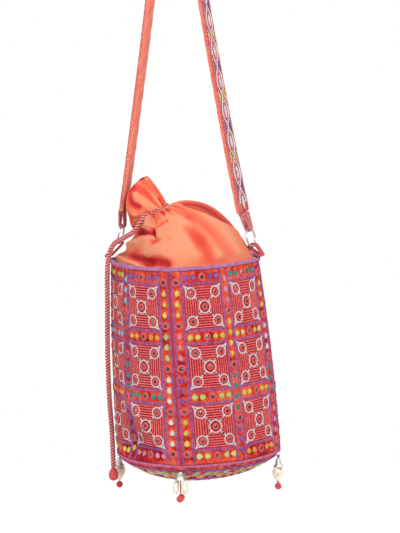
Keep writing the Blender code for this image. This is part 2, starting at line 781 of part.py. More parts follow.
def build_tassel(name, k, spec, looks, bag):
    direction = corner_directions[k]
    size = spec["knot"]
    if spec["beside"]:
        beside = SIDE_THICKNESS + size[0] / 2 - 2 * CLEARANCE
        knot_centre = body_middle(k, 1.0) + direction * beside - up * (size[2] / 2 - KNOT_LIFT)
    else:
        below = 2 * BASE_CORD_RADIUS + BASE_THICKNESS + KNOT_DROP
        knot_centre = body_middle(k, 1.0) - up * (below + size[2] / 2)
    facing = Matrix.Rotation(math.atan2(direction.y, direction.x), 3, "Z")
    ellipsoid(
        "tassel_%s_knot" % name, knot_centre, size, looks["thread"], bag,
        turn=facing, segments=10, rings=5)
    cap_top = knot_centre - up * (size[2] / 2 + CLEARANCE)
    joint = empty("tassel_%s_joint" % name, cap_top + up * (PIVOT_RISE + CLEARANCE), bag)
    profile = [(0.0, 0.0)] + [(radius, -depth) for radius, depth in CAP_BELL]
    profile += [(radius - CAP_WALL, -depth) for radius, depth in reversed(CAP_BELL[2:])]
    profile += [(CAP_BELL[1][0] - CAP_WALL, -CAP_CROWN), (0.0, -CAP_CROWN)]
    place = cap_top - joint.matrix_world.translation
    turned("tassel_%s_cap" % name, profile, place, looks["metal"], joint)
    strand_top = cap_top - up * (CAP_CROWN + CLEARANCE)
    strand_foot = cap_top - up * spec["strand"]
    points = [strand_top.lerp(strand_foot, i / 3) for i in range(4)]
    tube("tassel_%s_thread" % name, points, STRAND_RADIUS, looks["thread"], joint)
    side = direction.cross(up)
    for letter, sense, drop, lean in spec["cowries"]:
        turn = Matrix.Rotation(math.radians(lean), 3, side) @ Matrix.Rotation(
            math.atan2(direction.y, direction.x), 3, "Z")
        gap = STRAND_RADIUS + COWRIE_THICKNESS / 2 + CLEARANCE * 2
        centre = cap_top - up * drop + side * (sense * gap)
        size = (COWRIE_WIDTH, COWRIE_THICKNESS, COWRIE_LENGTH)
        shell = "tassel_%s_cowrie_%s" % (name, letter)
        ellipsoid(shell, centre, size, looks["shell"], joint, turn=turn)
    for letter, out, drop, radius in spec["balls"]:
        centre = cap_top + direction * out - up * drop
        size = (2 * radius, 2 * radius, 2 * radius)
        ellipsoid(
            "tassel_%s_ball_%s" % (name, letter), centre, size, looks["ball"], joint,
            segments=10, rings=6)
    return joint


def tassel_specs():
    # Cowries: letter, side, depth of centre and lean. Balls: letter, out, depth and radius
    wrap = STRAND_FOOT + CLEARANCE + WRAP_RADIUS
    level = wrap + BALL_RADIUS + 2 * CLEARANCE
    apart = BALL_RADIUS + CLEARANCE
    last = wrap + WRAP_RADIUS + BALL_RADIUS + CLEARANCE
    stacked = [("a", 0.0, wrap, WRAP_RADIUS), ("b", 0.0, last, BALL_RADIUS)]
    paired = [("a", -apart, level, BALL_RADIUS), ("b", apart, level, BALL_RADIUS)]
    specs = {}
    for name, beside, strand, cowries in TASSELS:
        specs[name] = {
            "beside": beside,
            "knot": KNOT_LARGE if beside else KNOT_SMALL,
            "strand": strand,
            "cowries": cowries,
            "balls": paired if name == "front" else stacked,
        }
    return specs


def main():
    looks = {
        "side": material("embroidered_cotton", (0.62, 0.06, 0.09), 0.9),
        "braid": material("lilac_braid", (0.42, 0.14, 0.42), 0.85),
        "cloth": material("coral_cotton", (0.86, 0.16, 0.07), 0.85),
        "strap": material("embroidered_strap", (0.66, 0.10, 0.12), 0.9),
        "thread": material("rose_thread", (0.62, 0.12, 0.14), 0.85),
        "metal": material("silver_metal", (0.72, 0.71, 0.69), 0.3, 1.0),
        "shell": material("cowrie_shell", (0.80, 0.74, 0.62), 0.3),
        "ball": material("red_cloth_ball", (0.55, 0.07, 0.06), 0.9),
    }
    strap = empty("strap_root", Vector((0, 0, 0)))
    left_x = strap_end(-1).x - RING_OUT_LEFT
    right_x = strap_end(1).x + RING_OUT_RIGHT
    sides = (
        ("left", ring_frame(left_x, RING_LEAN_LEFT_DEG, RING_TURN_LEFT_DEG), 3, 0),
        ("right", ring_frame(right_x, RING_LEAN_RIGHT_DEG, RING_TURN_RIGHT_DEG), 1, -1),
    )
    bag = empty("bag_joint", sides[0][1][0], strap)
    build_strap(strap, looks["strap"], looks["cloth"])
    frames = strap_frames()
    for name, frame, corner, end in sides:
        spin = empty("ring_%s_joint" % name, frame[0], strap)
        build_ring("ring_" + name, frame, looks["metal"], spin)
        point, across, outward = frames[end]
        upward = outward.cross(across).normalized()
        if upward.z < 0:
            upward.negate()
        anchor = point - upward * (WHIP_THICKNESS / 2 + 2 * CLEARANCE)
        upper = build_loops(
            "strap_loops_" + name, frame, True, anchor, (outward, across, upward),
            LOOP_SPREAD_STRAP, looks["thread"], strap)
        bake(*upper)
        rim_top = 2 * RIM_CORD_RADIUS + 4 * CLEARANCE + WHIP_THICKNESS / 2
        anchor = corner_out(corner, 0, WHIP_OUT) + up * rim_top
        lower = build_loops(
            "bag_loops_" + name, frame, False, anchor, (Vector((1, 0, 0)), Vector((0, 1, 0)), up),
            LOOP_SPREAD_BAG, looks["thread"], bag)
        bake(*lower)
    build_sides(bag, looks["side"])
    build_seam_cords(bag, looks["braid"])
    build_edge_cords(bag, looks["braid"])
    build_base(bag, looks["side"])
    build_top(bag, looks["cloth"])
    build_drawcord(bag, looks["thread"])
    specs = tassel_specs()
    for k, name in enumerate(corner_names):
        build_tassel(name, k, specs[name], looks, bag)


main()
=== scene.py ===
import json
import math

import bmesh
import bpy
import numpy as np
from mathutils import Matrix, Vector

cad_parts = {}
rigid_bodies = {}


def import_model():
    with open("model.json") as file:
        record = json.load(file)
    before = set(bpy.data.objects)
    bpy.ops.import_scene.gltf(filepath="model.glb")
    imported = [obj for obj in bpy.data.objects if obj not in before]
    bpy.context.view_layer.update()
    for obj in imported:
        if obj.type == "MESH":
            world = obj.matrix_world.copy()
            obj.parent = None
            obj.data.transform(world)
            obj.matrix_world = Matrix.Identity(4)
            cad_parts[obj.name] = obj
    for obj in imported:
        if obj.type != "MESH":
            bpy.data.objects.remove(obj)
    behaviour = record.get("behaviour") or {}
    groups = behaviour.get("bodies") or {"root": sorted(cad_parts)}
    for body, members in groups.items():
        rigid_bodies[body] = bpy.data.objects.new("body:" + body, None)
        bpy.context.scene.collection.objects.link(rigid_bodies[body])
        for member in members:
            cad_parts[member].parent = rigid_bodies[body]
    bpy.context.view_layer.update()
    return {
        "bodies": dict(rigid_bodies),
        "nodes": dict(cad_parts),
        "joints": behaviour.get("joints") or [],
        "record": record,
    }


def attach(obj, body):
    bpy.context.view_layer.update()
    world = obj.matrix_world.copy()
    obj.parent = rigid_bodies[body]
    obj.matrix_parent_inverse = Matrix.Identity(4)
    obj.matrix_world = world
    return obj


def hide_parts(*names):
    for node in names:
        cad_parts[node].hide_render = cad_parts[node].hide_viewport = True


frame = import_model()
print("frame loaded")

# Embroidered drawstring bag: view and light, then tools, then the pieces

# camera, floor and light

photoView = {
    "size": (400, 533),
    "rim": Vector((0.016, 0.0, -0.578)),  # middle of the bag's rim
    "rimPixel": (184.5, 261.0),  # where the photograph shows it
    "distance": 3.5,
    "azimuth": 12.0,
    "elevation": 8.0,
    "lens": 176.0,
    "sensor": 36.0,
    "farthest": 60,
}


def aimed(name, data, place, aim):
    made = loose(name, data)
    made.location = place
    made.rotation_mode = "QUATERNION"
    made.rotation_quaternion = (Vector(aim) - Vector(place)).to_track_quat("-Z", "Y")
    return made


def makeCamera(want):
    turn, rise = math.radians(want["azimuth"]), math.radians(want["elevation"])
    back = Vector((math.sin(turn) * math.cos(rise), -math.cos(turn) * math.cos(rise), math.sin(rise)))
    facing = (-back).to_track_quat("-Z", "Y")
    perPixel = want["distance"] * want["sensor"] / (want["lens"] * want["size"][1])
    aside, under = ((want["size"][k] / 2 - want["rimPixel"][k]) * perPixel for k in (0, 1))
    data = bpy.data.cameras.new("photoCamera")
    data.lens, data.sensor_width, data.sensor_fit = want["lens"], want["sensor"], "AUTO"
    data.clip_end = want["farthest"]
    place = want["rim"] + back * want["distance"]
    aim = want["rim"] + facing @ Vector((aside, -under, 0))
    bpy.context.scene.camera = aimed("photoCamera", data, place, aim)


studio = {
    "floorLevel": -4.0,
    "floorRadius": 14.0,
    "floorGlow": 0.42,
    "sky": 0.70,  # what lights the bag; the camera sees full white
    "aim": (0.02, 0.0, -0.66),
    # place, size and power
    "lamps": {"key": ((1.3, -2.0, 0.9), 0.9, 62.0), "fill": ((-1.9, -1.3, 0.1), 1.4, 14.0)},
}


def areaLight(name, place, aim, size, power):
    data = bpy.data.lights.new(name, "AREA")
    data.shape, data.size, data.energy = "DISK", size, power
    return aimed(name, data, place, aim)


# tools: sockets with maths, materials, geometry trees


def feed(tree, slot, value):
    if isinstance(value, Wire):
        tree.links.new(value.socket, slot)
    elif isinstance(value, tuple) and slot.type == "RGBA" and len(value) == 3:
        slot.default_value = (*value, 1.0)
    else:
        slot.default_value = value


def calc(tree, kind, *values):
    made = tree.nodes.new("ShaderNodeMath")
    made.operation = kind
    for slot, value in zip(made.inputs, values):
        feed(tree, slot, value)
    return Wire(tree, made.outputs[0])


def sumOf(kind, turnedRound=False):
    def run(self, other):
        return calc(self.tree, kind, *((other, self) if turnedRound else (self, other)))
    return run


class Wire:
    # an output socket that can be written in sums
    def __init__(self, tree, socket):
        self.tree, self.socket = tree, socket

    __add__, __radd__ = sumOf("ADD"), sumOf("ADD", True)
    __sub__, __rsub__ = sumOf("SUBTRACT"), sumOf("SUBTRACT", True)
    __mul__, __rmul__ = sumOf("MULTIPLY"), sumOf("MULTIPLY", True)


class Bench:
    # builds nodes in a tree: kind, settings first, then the values or links of its sockets
    def __init__(self, tree):
        self.tree = tree

    def add(self, kind, settings=None, sockets=None, output=0):
        made = self.tree.nodes.new(kind)
        for key, value in (settings or {}).items():
            if key == "stops":
                ramp = made.color_ramp
                while len(ramp.elements) < len(value):
                    ramp.elements.new(1.0)
                for element, (place, colour) in zip(ramp.elements, value):
                    element.position = place
                    element.color = (*colour, 1.0) if isinstance(colour, tuple) else (colour,) * 3 + (1.0,)
            else:
                setattr(made, key, value)
        for key, value in (sockets or {}).items():
            feed(self.tree, made.inputs[key], value)
        return Wire(self.tree, made.outputs[output])


class Finish(Bench):
    # one material: fixed numbers on the shader, changing ones through surface()
    def __init__(self, name, fixed):
        self.material = bpy.data.materials.new(name)
        self.material.use_nodes = True
        super().__init__(self.material.node_tree)
        self.shader = self.tree.nodes["Principled BSDF"]
        for key, value in fixed.items():
            feed(self.tree, self.shader.inputs[key], value)
        self.object = self.add("ShaderNodeTexCoord", None, None, "Object")
        self.map = self.add("ShaderNodeTexCoord", None, None, "UV")

    def attribute(self, name, output="Fac"):
        return self.add("ShaderNodeAttribute", {"attribute_name": name}, None, output)

    def noise(self, scale, detail=2.0, vector=None, distortion=0.0, stretch=None):
        vector = vector or self.object
        if stretch:
            vector = self.add("ShaderNodeMapping", None, {"Vector": vector, "Scale": stretch})
        sockets = {"Vector": vector, "Scale": scale, "Detail": detail, "Distortion": distortion}
        return self.add("ShaderNodeTexNoise", None, sockets, "Fac")

    def bands(self, scale, vector, axis="X", distortion=0.0):
        settings = {"wave_type": "BANDS", "bands_direction": axis, "wave_profile": "SIN"}
        sockets = {"Vector": vector, "Scale": scale, "Distortion": distortion}
        return self.add("ShaderNodeTexWave", settings, sockets, "Fac")

    def ramp(self, value, stops):
        return self.add("ShaderNodeValToRGB", {"stops": stops}, {"Fac": value}, "Color")

    def mix(self, factor, a, b):
        settings = {"data_type": "RGBA", "blend_type": "MIX"}
        return self.add("ShaderNodeMix", settings, {0: factor, 6: a, 7: b}, 2)

    def surface(self, colour, roughness=None, height=None, distance=0.001, strength=1.0, metallic=None):
        feed(self.tree, self.shader.inputs["Base Color"], colour)
        if roughness is not None:
            feed(self.tree, self.shader.inputs["Roughness"], roughness)
        if metallic is not None:
            feed(self.tree, self.shader.inputs["Metallic"], metallic)
        if height is not None:
            sockets = {"Height": height, "Distance": distance, "Strength": strength}
            bump = self.add("ShaderNodeBump", None, sockets, "Normal")
            feed(self.tree, self.shader.inputs["Normal"], bump)
        return self.material


class Growth(Bench):
    # one geometry tree with named inputs, which ends in Realize Instances and Set Material
    def __init__(self, name, inputs):
        super().__init__(bpy.data.node_groups.new(name, "GeometryNodeTree"))
        face = self.tree.interface
        face.new_socket("Geometry", in_out="INPUT", socket_type="NodeSocketGeometry")
        for label, kind in inputs:
            face.new_socket(label, in_out="INPUT", socket_type=kind)
        face.new_socket("Geometry", in_out="OUTPUT", socket_type="NodeSocketGeometry")
        self.entry = self.tree.nodes.new("NodeGroupInput")
        self.exit = self.tree.nodes.new("NodeGroupOutput")

    def given(self, label):
        return Wire(self.tree, self.entry.outputs[label])

    def end(self, geometry):
        real = self.add("GeometryNodeRealizeInstances", None, {"Geometry": geometry})
        sockets = {"Geometry": real, "Material": self.given("Material")}
        last = self.add("GeometryNodeSetMaterial", None, sockets)
        feed(self.tree, self.exit.inputs[0], last)
        return self.tree


def grow(name, source, tree, values):
    # runs a geometry tree on an object and returns its result as plain mesh data
    modifier = source.modifiers.new("grow", "NODES")
    modifier.node_group = tree
    for item in tree.interface.items_tree:
        if item.item_type == "SOCKET" and item.in_out == "INPUT" and item.name in values:
            modifier[item.identifier] = values[item.name]
    graph = bpy.context.evaluated_depsgraph_get()
    data = bpy.data.meshes.new_from_object(source.evaluated_get(graph), depsgraph=graph)
    source.modifiers.clear()
    data.name = name
    return data


def makeStitchTree():
    # stitches set end to end along every line
    tree = Growth("stitchesAlongLines", [
        ("Stitch", "NodeSocketObject"), ("Pitch", "NodeSocketFloat"), ("Wobble", "NodeSocketFloat"),
        ("Seed", "NodeSocketInt"), ("Material", "NodeSocketMaterial")])
    given, add = tree.given, tree.add

    def chance(low, seed):
        sockets = {"Min": low, "Max": 1.0, "Seed": seed}
        return add("FunctionNodeRandomValue", {"data_type": "FLOAT"}, sockets, 1)

    even = add("GeometryNodeResampleCurve", {"mode": "LENGTH"},
               {"Curve": given("Geometry"), "Length": given("Pitch")})
    along = add("GeometryNodeInputTangent")
    facing = add("FunctionNodeAlignRotationToVector", {"axis": "X", "pivot_axis": "Z"}, {"Vector": along})
    grown = 1.0 + chance(-1.0, given("Seed")) * given("Wobble")
    piece = add("GeometryNodeObjectInfo", None, {"Object": given("Stitch"), "As Instance": True}, "Geometry")
    size = add("ShaderNodeCombineXYZ", None, {"X": 1.0, "Y": grown, "Z": grown})
    laid = add("GeometryNodeInstanceOnPoints", None,
               {"Points": even, "Instance": piece, "Rotation": facing, "Scale": size})
    marked = add("GeometryNodeStoreNamedAttribute", {"data_type": "FLOAT", "domain": "INSTANCE"},
                 {"Geometry": laid, "Name": "tone", "Value": chance(0.0, given("Seed") + 7)})
    return tree.end(marked)


def makeMarkTree():
    # one copy of a piece on every marked point, turned and sized as the point says
    tree = Growth("piecesOnMarks", [("Piece", "NodeSocketObject"), ("Material", "NodeSocketMaterial")])
    turn, wide = (tree.add("GeometryNodeInputNamedAttribute", {"data_type": kind}, {"Name": name})
                  for kind, name in (("FLOAT", "turn"), ("FLOAT_VECTOR", "size")))
    angle = tree.add("ShaderNodeCombineXYZ", None, {"Z": turn})
    sockets = {"Object": tree.given("Piece"), "As Instance": True}
    piece = tree.add("GeometryNodeObjectInfo", None, sockets, "Geometry")
    laid = tree.add("GeometryNodeInstanceOnPoints", None,
                    {"Points": tree.given("Geometry"), "Instance": piece, "Rotation": angle, "Scale": wide})
    return tree.end(laid)


def loose(name, data):
    made = bpy.data.objects.new(name, data)
    bpy.context.scene.collection.objects.link(made)
    return made


def drop(item):
    data = item.data
    bpy.data.objects.remove(item, do_unlink=True)
    (bpy.data.meshes if isinstance(data, bpy.types.Mesh) else bpy.data.curves).remove(data)


def linesObject(lines):
    # lines: (points, closed) in metres
    data = bpy.data.curves.new("lines", "CURVE")
    data.dimensions = "3D"
    for points, closed in lines:
        spline = data.splines.new("POLY")
        spline.points.add(len(points) - 1)
        flat = []
        for point in points:
            flat += [*point, 1.0] if len(point) == 3 else [*point, 0.0, 1.0]
        spline.points.foreach_set("co", flat)
        spline.use_cyclic_u = closed
    return loose("lines", data)


def marksObject(marks):
    # marks: (x, y, z, turn in degrees, (size), (colour))
    data = bpy.data.meshes.new("marks")
    data.from_pydata([m[:3] for m in marks], [], [])
    columns = (("turn", "FLOAT", "value", [math.radians(m[3]) for m in marks]),
               ("size", "FLOAT_VECTOR", "vector", [v for m in marks for v in m[4]]),
               ("tint", "FLOAT_COLOR", "color", [v for m in marks for v in (*m[5], 1.0)]))
    for name, kind, field, values in columns:
        data.attributes.new(name, kind, "POINT").data.foreach_set(field, values)
    return loose("marks", data)


def pointsOf(data):
    found = np.empty(len(data.vertices) * 3)
    data.vertices.foreach_get("co", found)
    return found.reshape(-1, 3)


def setPoints(data, points):
    data.vertices.foreach_set("co", np.ascontiguousarray(points, dtype=np.float32).ravel())
    data.update()


def label(data, name, values):
    # a number on every point, which a material reads
    numbers = np.asarray(values, np.float32).ravel()
    data.attributes.new(name, "FLOAT", "POINT").data.foreach_set("value", numbers)


def finished(name, data, body, slot, replaced=(), smoothDegrees=None, look=None):
    # a piece in its place, riding on its body
    data.name = name
    if look:
        data.materials.append(look)
    made = loose(name, data)
    data.shade_smooth()
    if smoothDegrees:
        data.set_sharp_from_angle(angle=math.radians(smoothDegrees))
    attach(made, body)
    if replaced:
        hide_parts(*replaced)
    return made


def catmull(points, steps):
    # smooth line through all points, with steps pieces between two of them
    points = [np.array(p, float) for p in points]
    ends = [2 * points[0] - points[1], *points, 2 * points[-1] - points[-2]]
    found = []
    for i in range(1, len(ends) - 2):
        a, b, c, d = ends[i - 1: i + 3]
        for k in range(steps):
            f = k / steps
            curve = (2 * a - 5 * b + 4 * c - d) * f**2 + (3 * b - a - 3 * c + d) * f**3
            found.append(0.5 * (2 * b + (c - a) * f + curve))
    found.append(points[-1])
    return np.array(found)


def evenLine(points, count):
    # the same line with its points at equal steps
    points = np.array(points, float)
    run = np.concatenate([[0.0], np.cumsum(np.linalg.norm(np.diff(points, axis=0), axis=1))])
    wanted = np.linspace(0, run[-1], count)
    return np.stack([np.interp(wanted, run, points[:, k]) for k in range(3)], axis=1), run[-1]


def lengthOf(line):
    return float(np.sum(np.linalg.norm(np.diff(np.asarray(line), axis=0), axis=1)))


def bump(value, middle, wide):
    return np.exp(-(((value - middle) / wide) ** 2))


def varied(rng, colour, low, high):
    return tuple((np.array(colour) * rng.uniform(low, high)).tolist())


def fullTurn(count):
    return np.arange(count) * 2 * math.pi / count


def unit(v):
    return v / np.maximum(np.linalg.norm(v, axis=-1, keepdims=True), 1e-12)


def sheetMesh(name, points, uv, closedAround=False):
    # grid of points (rows, columns, 3), rows downwards and columns to the right as seen from outside
    rows, columns = points.shape[:2]
    data = bpy.data.meshes.new(name)
    wide = columns if closedAround else columns - 1
    faces, corners = [], []
    for j in range(rows - 1):
        for i in range(wide):
            k = (i + 1) % columns
            faces.append((j * columns + i, (j + 1) * columns + i, (j + 1) * columns + k, j * columns + k))
            corners += [uv[j][i], uv[j + 1][i], uv[j + 1][i + 1], uv[j][i + 1]]
    data.from_pydata(points.reshape(-1, 3).tolist(), [], faces)
    layer = data.uv_layers.new(name="UVMap")
    layer.data.foreach_set("uv", [v for pair in corners for v in pair])
    return data


def thickened(data, thickness):
    # cloth with its wall on the inner side
    source = loose("sheet", data)
    solid = source.modifiers.new("thick", "SOLIDIFY")
    solid.thickness, solid.offset = thickness, -1.0
    graph = bpy.context.evaluated_depsgraph_get()
    made = bpy.data.meshes.new_from_object(source.evaluated_get(graph), depsgraph=graph)
    drop(source)
    return made


def blob(name, size, around=8, along=6, fn=None):
    # ellipsoid stitch with closed poles on the X axis
    holder = bmesh.new()
    bmesh.ops.create_uvsphere(holder, u_segments=around, v_segments=along, radius=0.5)
    bmesh.ops.rotate(holder, cent=(0, 0, 0), matrix=Matrix.Rotation(math.pi / 2, 3, "Y"), verts=holder.verts)
    for vert in holder.verts:
        vert.co = Vector((vert.co.x * size[0], vert.co.y * size[1], vert.co.z * size[2]))
        if fn:
            vert.co = Vector(fn(vert.co))
    data = bpy.data.meshes.new(name)
    holder.to_mesh(data)
    holder.free()
    data.shade_smooth()
    return data


def hoop(name, wide, deep, thick, around=8, cross=3, beat=(0.0, 0.0), rise=1.0):
    # a closed loop of thread lying flat; beat swells its even and odd rings of points
    data = bpy.data.meshes.new(name)
    points, faces = [], []
    for i, a in enumerate(fullTurn(around)):
        swell = thick * (1.0 + beat[i % 2])
        for j, b in enumerate(fullTurn(cross)):
            out, high = swell * math.cos(b), swell * rise * math.sin(b)
            points.append(((wide + out) * math.cos(a), (deep + out) * math.sin(a), high))
            k, m = (i + 1) % around, (j + 1) % cross
            faces.append((i * cross + j, k * cross + j, k * cross + m, i * cross + m))
    data.from_pydata(points, [], faces)
    data.shade_smooth()
    return data


def latheMesh(name, rings):
    # closed skin through rings of points; a ring of one point closes an end
    holder = bmesh.new()
    loops = [[holder.verts.new(point) for point in ring] for ring in rings]
    for a, b in zip(loops, loops[1:]):
        count = max(len(a), len(b))
        for k in range(count if count > 1 else 0):
            m = (k + 1) % count
            if len(a) == 1:
                holder.faces.new((a[0], b[k], b[m]))
            elif len(b) == 1:
                holder.faces.new((a[k], b[0], a[m]))
            else:
                holder.faces.new((a[k], b[k], b[m], a[m]))
    data = bpy.data.meshes.new(name)
    holder.to_mesh(data)
    holder.free()
    return data


def merged(name, parts):
    # copies of meshes, each moved and turned, as one mesh: (data, matrix)
    holder = bmesh.new()
    for data, matrix in parts:
        before = len(holder.verts)
        holder.from_mesh(data)
        holder.verts.ensure_lookup_table()
        bmesh.ops.transform(holder, matrix=matrix, verts=holder.verts[before:])
    made = bpy.data.meshes.new(name)
    holder.to_mesh(made)
    holder.free()
    made.shade_smooth()
    return made


def tubeMesh(name, points, radius, around=8, closed=False, radii=None):
    # round tube with closed ends along points
    points = np.array(points, float)
    count = len(points)
    if closed:
        ahead = np.roll(points, -1, 0) - np.roll(points, 1, 0)
    else:
        ahead = np.gradient(points, axis=0)
    ahead = unit(ahead)
    side = np.zeros_like(points)
    side[0] = unit(np.cross(ahead[0], (0.3, 0.2, 0.93)))
    for i in range(1, count):
        side[i] = unit(side[i - 1] - ahead[i] * np.dot(side[i - 1], ahead[i]))
    other = np.cross(ahead, side)
    radii = np.full(count, radius) if radii is None else np.array(radii)
    faces = []
    rings = [points + (side * math.cos(a) + other * math.sin(a)) * radii[:, None] for a in fullTurn(around)]
    verts = np.stack(rings, axis=1).reshape(-1, 3)
    for i in range(count if closed else count - 1):
        k = (i + 1) % count
        for j in range(around):
            m = (j + 1) % around
            faces.append((i * around + j, i * around + m, k * around + m, k * around + j))
    if not closed:
        faces.append(tuple(reversed(range(around))))
        faces.append(tuple((count - 1) * around + j for j in range(around)))
    data = bpy.data.meshes.new(name)
    data.from_pydata(verts.tolist(), [], faces)
    data.shade_smooth()
    return data


stitchTree, markTree = makeStitchTree(), makeMarkTree()


def grownOn(name, source, tree, role, stitch, values):
    piece = loose("stitch", stitch)
    data = grow(name, source, tree, {role: piece, **values})
    drop(source)
    bpy.data.objects.remove(piece, do_unlink=True)
    return data


def sewn(name, lines, stitch, pitch, look, seed=1, wobble=0.12):
    values = {"Pitch": pitch, "Wobble": wobble, "Seed": seed, "Material": look}
    return grownOn(name, linesObject(lines), stitchTree, "Stitch", stitch, values)


def placed(name, marks, stitch, look):
    return grownOn(name, marksObject(marks), markTree, "Piece", stitch, {"Material": look})


print("tools ready")


# materials


def woven(name, light, dark, deep, weave=900.0):
    # plain cotton: painted shade by height of fold (lit, shaded and deeply shaded colours), fine weave and
    # slubs
    look = Finish(name, {"Roughness": 0.82, "Sheen Weight": 0.04, "Specular IOR Level": 0.25})
    hollow = look.attribute("hollow")
    patch = look.noise(38.0, 3.0)
    slub = look.noise(240.0, 2.0, look.map, stretch=(1.0, 6.0, 1.0))
    # painted shade: the attribute read above picks the lit, shaded or deeply shaded colour, darker in the
    # folds' hollows
    shade = look.ramp(hollow + (patch - 0.5) * 0.35, [(0.0, light), (0.5, dark), (1.0, deep)])
    tinted = look.mix((slub - 0.42) * 0.55, shade, light)
    warp = look.bands(weave, look.map, "X", 1.0)
    weft = look.bands(weave, look.map, "Y", 1.0)
    crease = look.noise(120.0, 4.0, None, 0.6)
    height = warp * 0.25 + weft * 0.25 + crease * 1.1 + slub * 0.5
    return look.surface(tinted, 0.86 - slub * 0.12, height, 0.0007)


def thread(name, colour, pale, twist=1500.0, rough=0.62, sheen=0.05, dim=0.55):
    # sewing thread: one hue with lighter and darker stitches, and a fine twist whose grooves get painted
    # shade
    look = Finish(name, {"Sheen Weight": sheen, "Specular IOR Level": 0.35})
    tone = look.attribute("tone")
    worn = look.noise(160.0, 2.0)
    strand = look.bands(twist, look.object, "DIAGONAL", 2.0)
    shade = look.mix(tone * 0.7 + worn * 0.5 - 0.25, colour, pale)
    # painted shade: the twist's bands darken the hue by the dim factor
    darker = look.mix(strand * 0.22, shade, tuple(c * dim for c in colour))
    return look.surface(darker, rough + worn * 0.2, strand + worn * 0.6, 0.00025)


def dyed(name, rough=0.55, twist=1300.0):
    # thread whose colour comes from each piece's own tint, with painted shade along its twist's bands
    look = Finish(name, {"Sheen Weight": 0.03, "Specular IOR Level": 0.4})
    tint = look.attribute("tint", "Color")
    fibre = look.bands(twist, look.object, "DIAGONAL", 1.5)
    worn = look.noise(300.0, 2.0)
    # painted shade: the fibre bands darken the tint
    shade = look.mix(fibre * 0.32, tint, look.mix(0.55, tint, (0.03, 0.01, 0.01)))
    pale = look.mix((worn - 0.45) * 0.6, shade, (0.95, 0.9, 0.85))
    return look.surface(pale, rough + worn * 0.15, fibre + worn * 0.5, 0.0003)


looks = {
    # woven looks: a lit colour and two painted shade colours for the folds
    "coral": woven("coralCotton", (1.0, 0.36, 0.195), (0.96, 0.105, 0.055), (0.60, 0.002, 0.020)),
    "strapLining": woven("strapLining", (1.0, 0.34, 0.24), (0.92, 0.16, 0.10), (0.55, 0.02, 0.03)),
    "purple": thread("purpleBraid", (0.36, 0.085, 0.41), (0.92, 0.31, 0.52)),
    "white": thread("whiteChain", (1.0, 0.95, 0.94), (1.0, 1.0, 1.0), rough=0.5, dim=0.9),
    "rose": thread("roseRib", (0.88, 0.105, 0.105), (1.0, 0.33, 0.29), twist=1100.0),
    "lilac": thread("lilacRim", (0.42, 0.15, 0.46), (0.92, 0.42, 0.60)),
    "palePink": thread("palePinkThread", (0.88, 0.24, 0.24), (1.0, 0.56, 0.52)),
    "redThread": thread("redThread", (0.50, 0.010, 0.022), (0.78, 0.07, 0.08)),
    "pink": thread("pinkThread", (0.82, 0.10, 0.125), (0.98, 0.32, 0.30)),
    "dyed": dyed("dyedThread"),
}


def mirrorLook(name, paintedReflectionTones):
    # painted reflection: the mirror's colour is a mottled ramp of greys standing in for what it reflects
    look = Finish(name, {"Coat Weight": 0.6, "Coat Roughness": 0.08})
    wave = look.noise(170.0, 3.0)
    clouds = look.noise(620.0, 2.0)
    shade = look.ramp(wave, [(at, (level, level, level * 0.96)) for at, level in paintedReflectionTones])
    return look.surface(shade, 0.14 + clouds * 0.18, wave, 0.0006, 0.5, 0.85)


def metalLook():
    look = Finish("wornMetal", {})
    worn = look.noise(130.0, 4.0)
    scratch = look.noise(900.0, 2.0, None, 0.5, (1.0, 1.0, 8.0))
    shade = look.ramp(worn + (scratch - 0.5) * 0.3,
        [(0.25, (0.30, 0.29, 0.27)), (0.5, (0.62, 0.61, 0.59)), (0.8, (0.86, 0.85, 0.83))])
    return look.surface(shade, 0.20 + worn * 0.28, scratch + worn, 0.0003, 0.5, 0.95)


def shellLook():
    look = Finish("cowrieShell", {"Coat Weight": 0.5, "Coat Roughness": 0.18, "Subsurface Weight": 0.08})
    slit = look.attribute("slit")
    cloud = look.noise(130.0, 3.0)
    speck = look.noise(700.0, 2.0)
    shade = look.ramp(cloud + (speck - 0.5) * 0.25,
        [(0.25, (0.55, 0.42, 0.28)), (0.48, (0.74, 0.65, 0.52)), (0.75, (0.84, 0.78, 0.69))])
    # painted shade in the shell's slit
    inner = look.mix(slit, shade, (0.16, 0.07, 0.04))
    return look.surface(inner, 0.26 + speck * 0.2, cloud, 0.0003)


# painted reflection: the same glass twice, dark on the sides and base, bright on the strap
looks["mirror"] = mirrorLook("mirrorGlass", [(0.30, 0.02), (0.5, 0.06), (0.76, 0.40)])
looks["brightMirror"] = mirrorLook("strapMirror", [(0.32, 0.10), (0.40, 0.72), (0.6, 0.98)])
looks["metal"], looks["shell"] = metalLook(), shellLook()


def quiltLook():
    # the sides' ground: crimson under the panels, ruched orange red in the seed bands, with painted shade in
    # the ruches
    look = Finish("sideGround", {"Specular IOR Level": 0.22})
    zone, hollow = look.attribute("zone"), look.attribute("hollow")
    cloud = look.noise(90.0, 4.0)
    pucker = look.noise(420.0, 3.0, look.map, 0.8)
    # painted shade: the bands darken where the relief is low and in the pucker noise's hollows, besides
    # random clouding
    band = look.ramp(cloud + (pucker - 0.5) * 0.7 + 0.18 - hollow * 0.55,
        [(0.12, (0.36, 0.004, 0.016)), (0.34, (0.80, 0.055, 0.030)), (0.62, (1.0, 0.17, 0.065))])
    panel = look.ramp(cloud, [(0.3, (0.30, 0.003, 0.018)), (0.7, (0.55, 0.014, 0.040))])
    ground = look.mix(zone, band, panel)
    weave = look.bands(700.0, look.map, "Y", 2.0)
    return look.surface(ground, 0.78 + pucker * 0.15, pucker * 1.6 + weave * 0.3 + cloud, 0.0009)


looks["quilt"] = quiltLook()
print("materials ready")


# the bag's shape, as the CAD has it

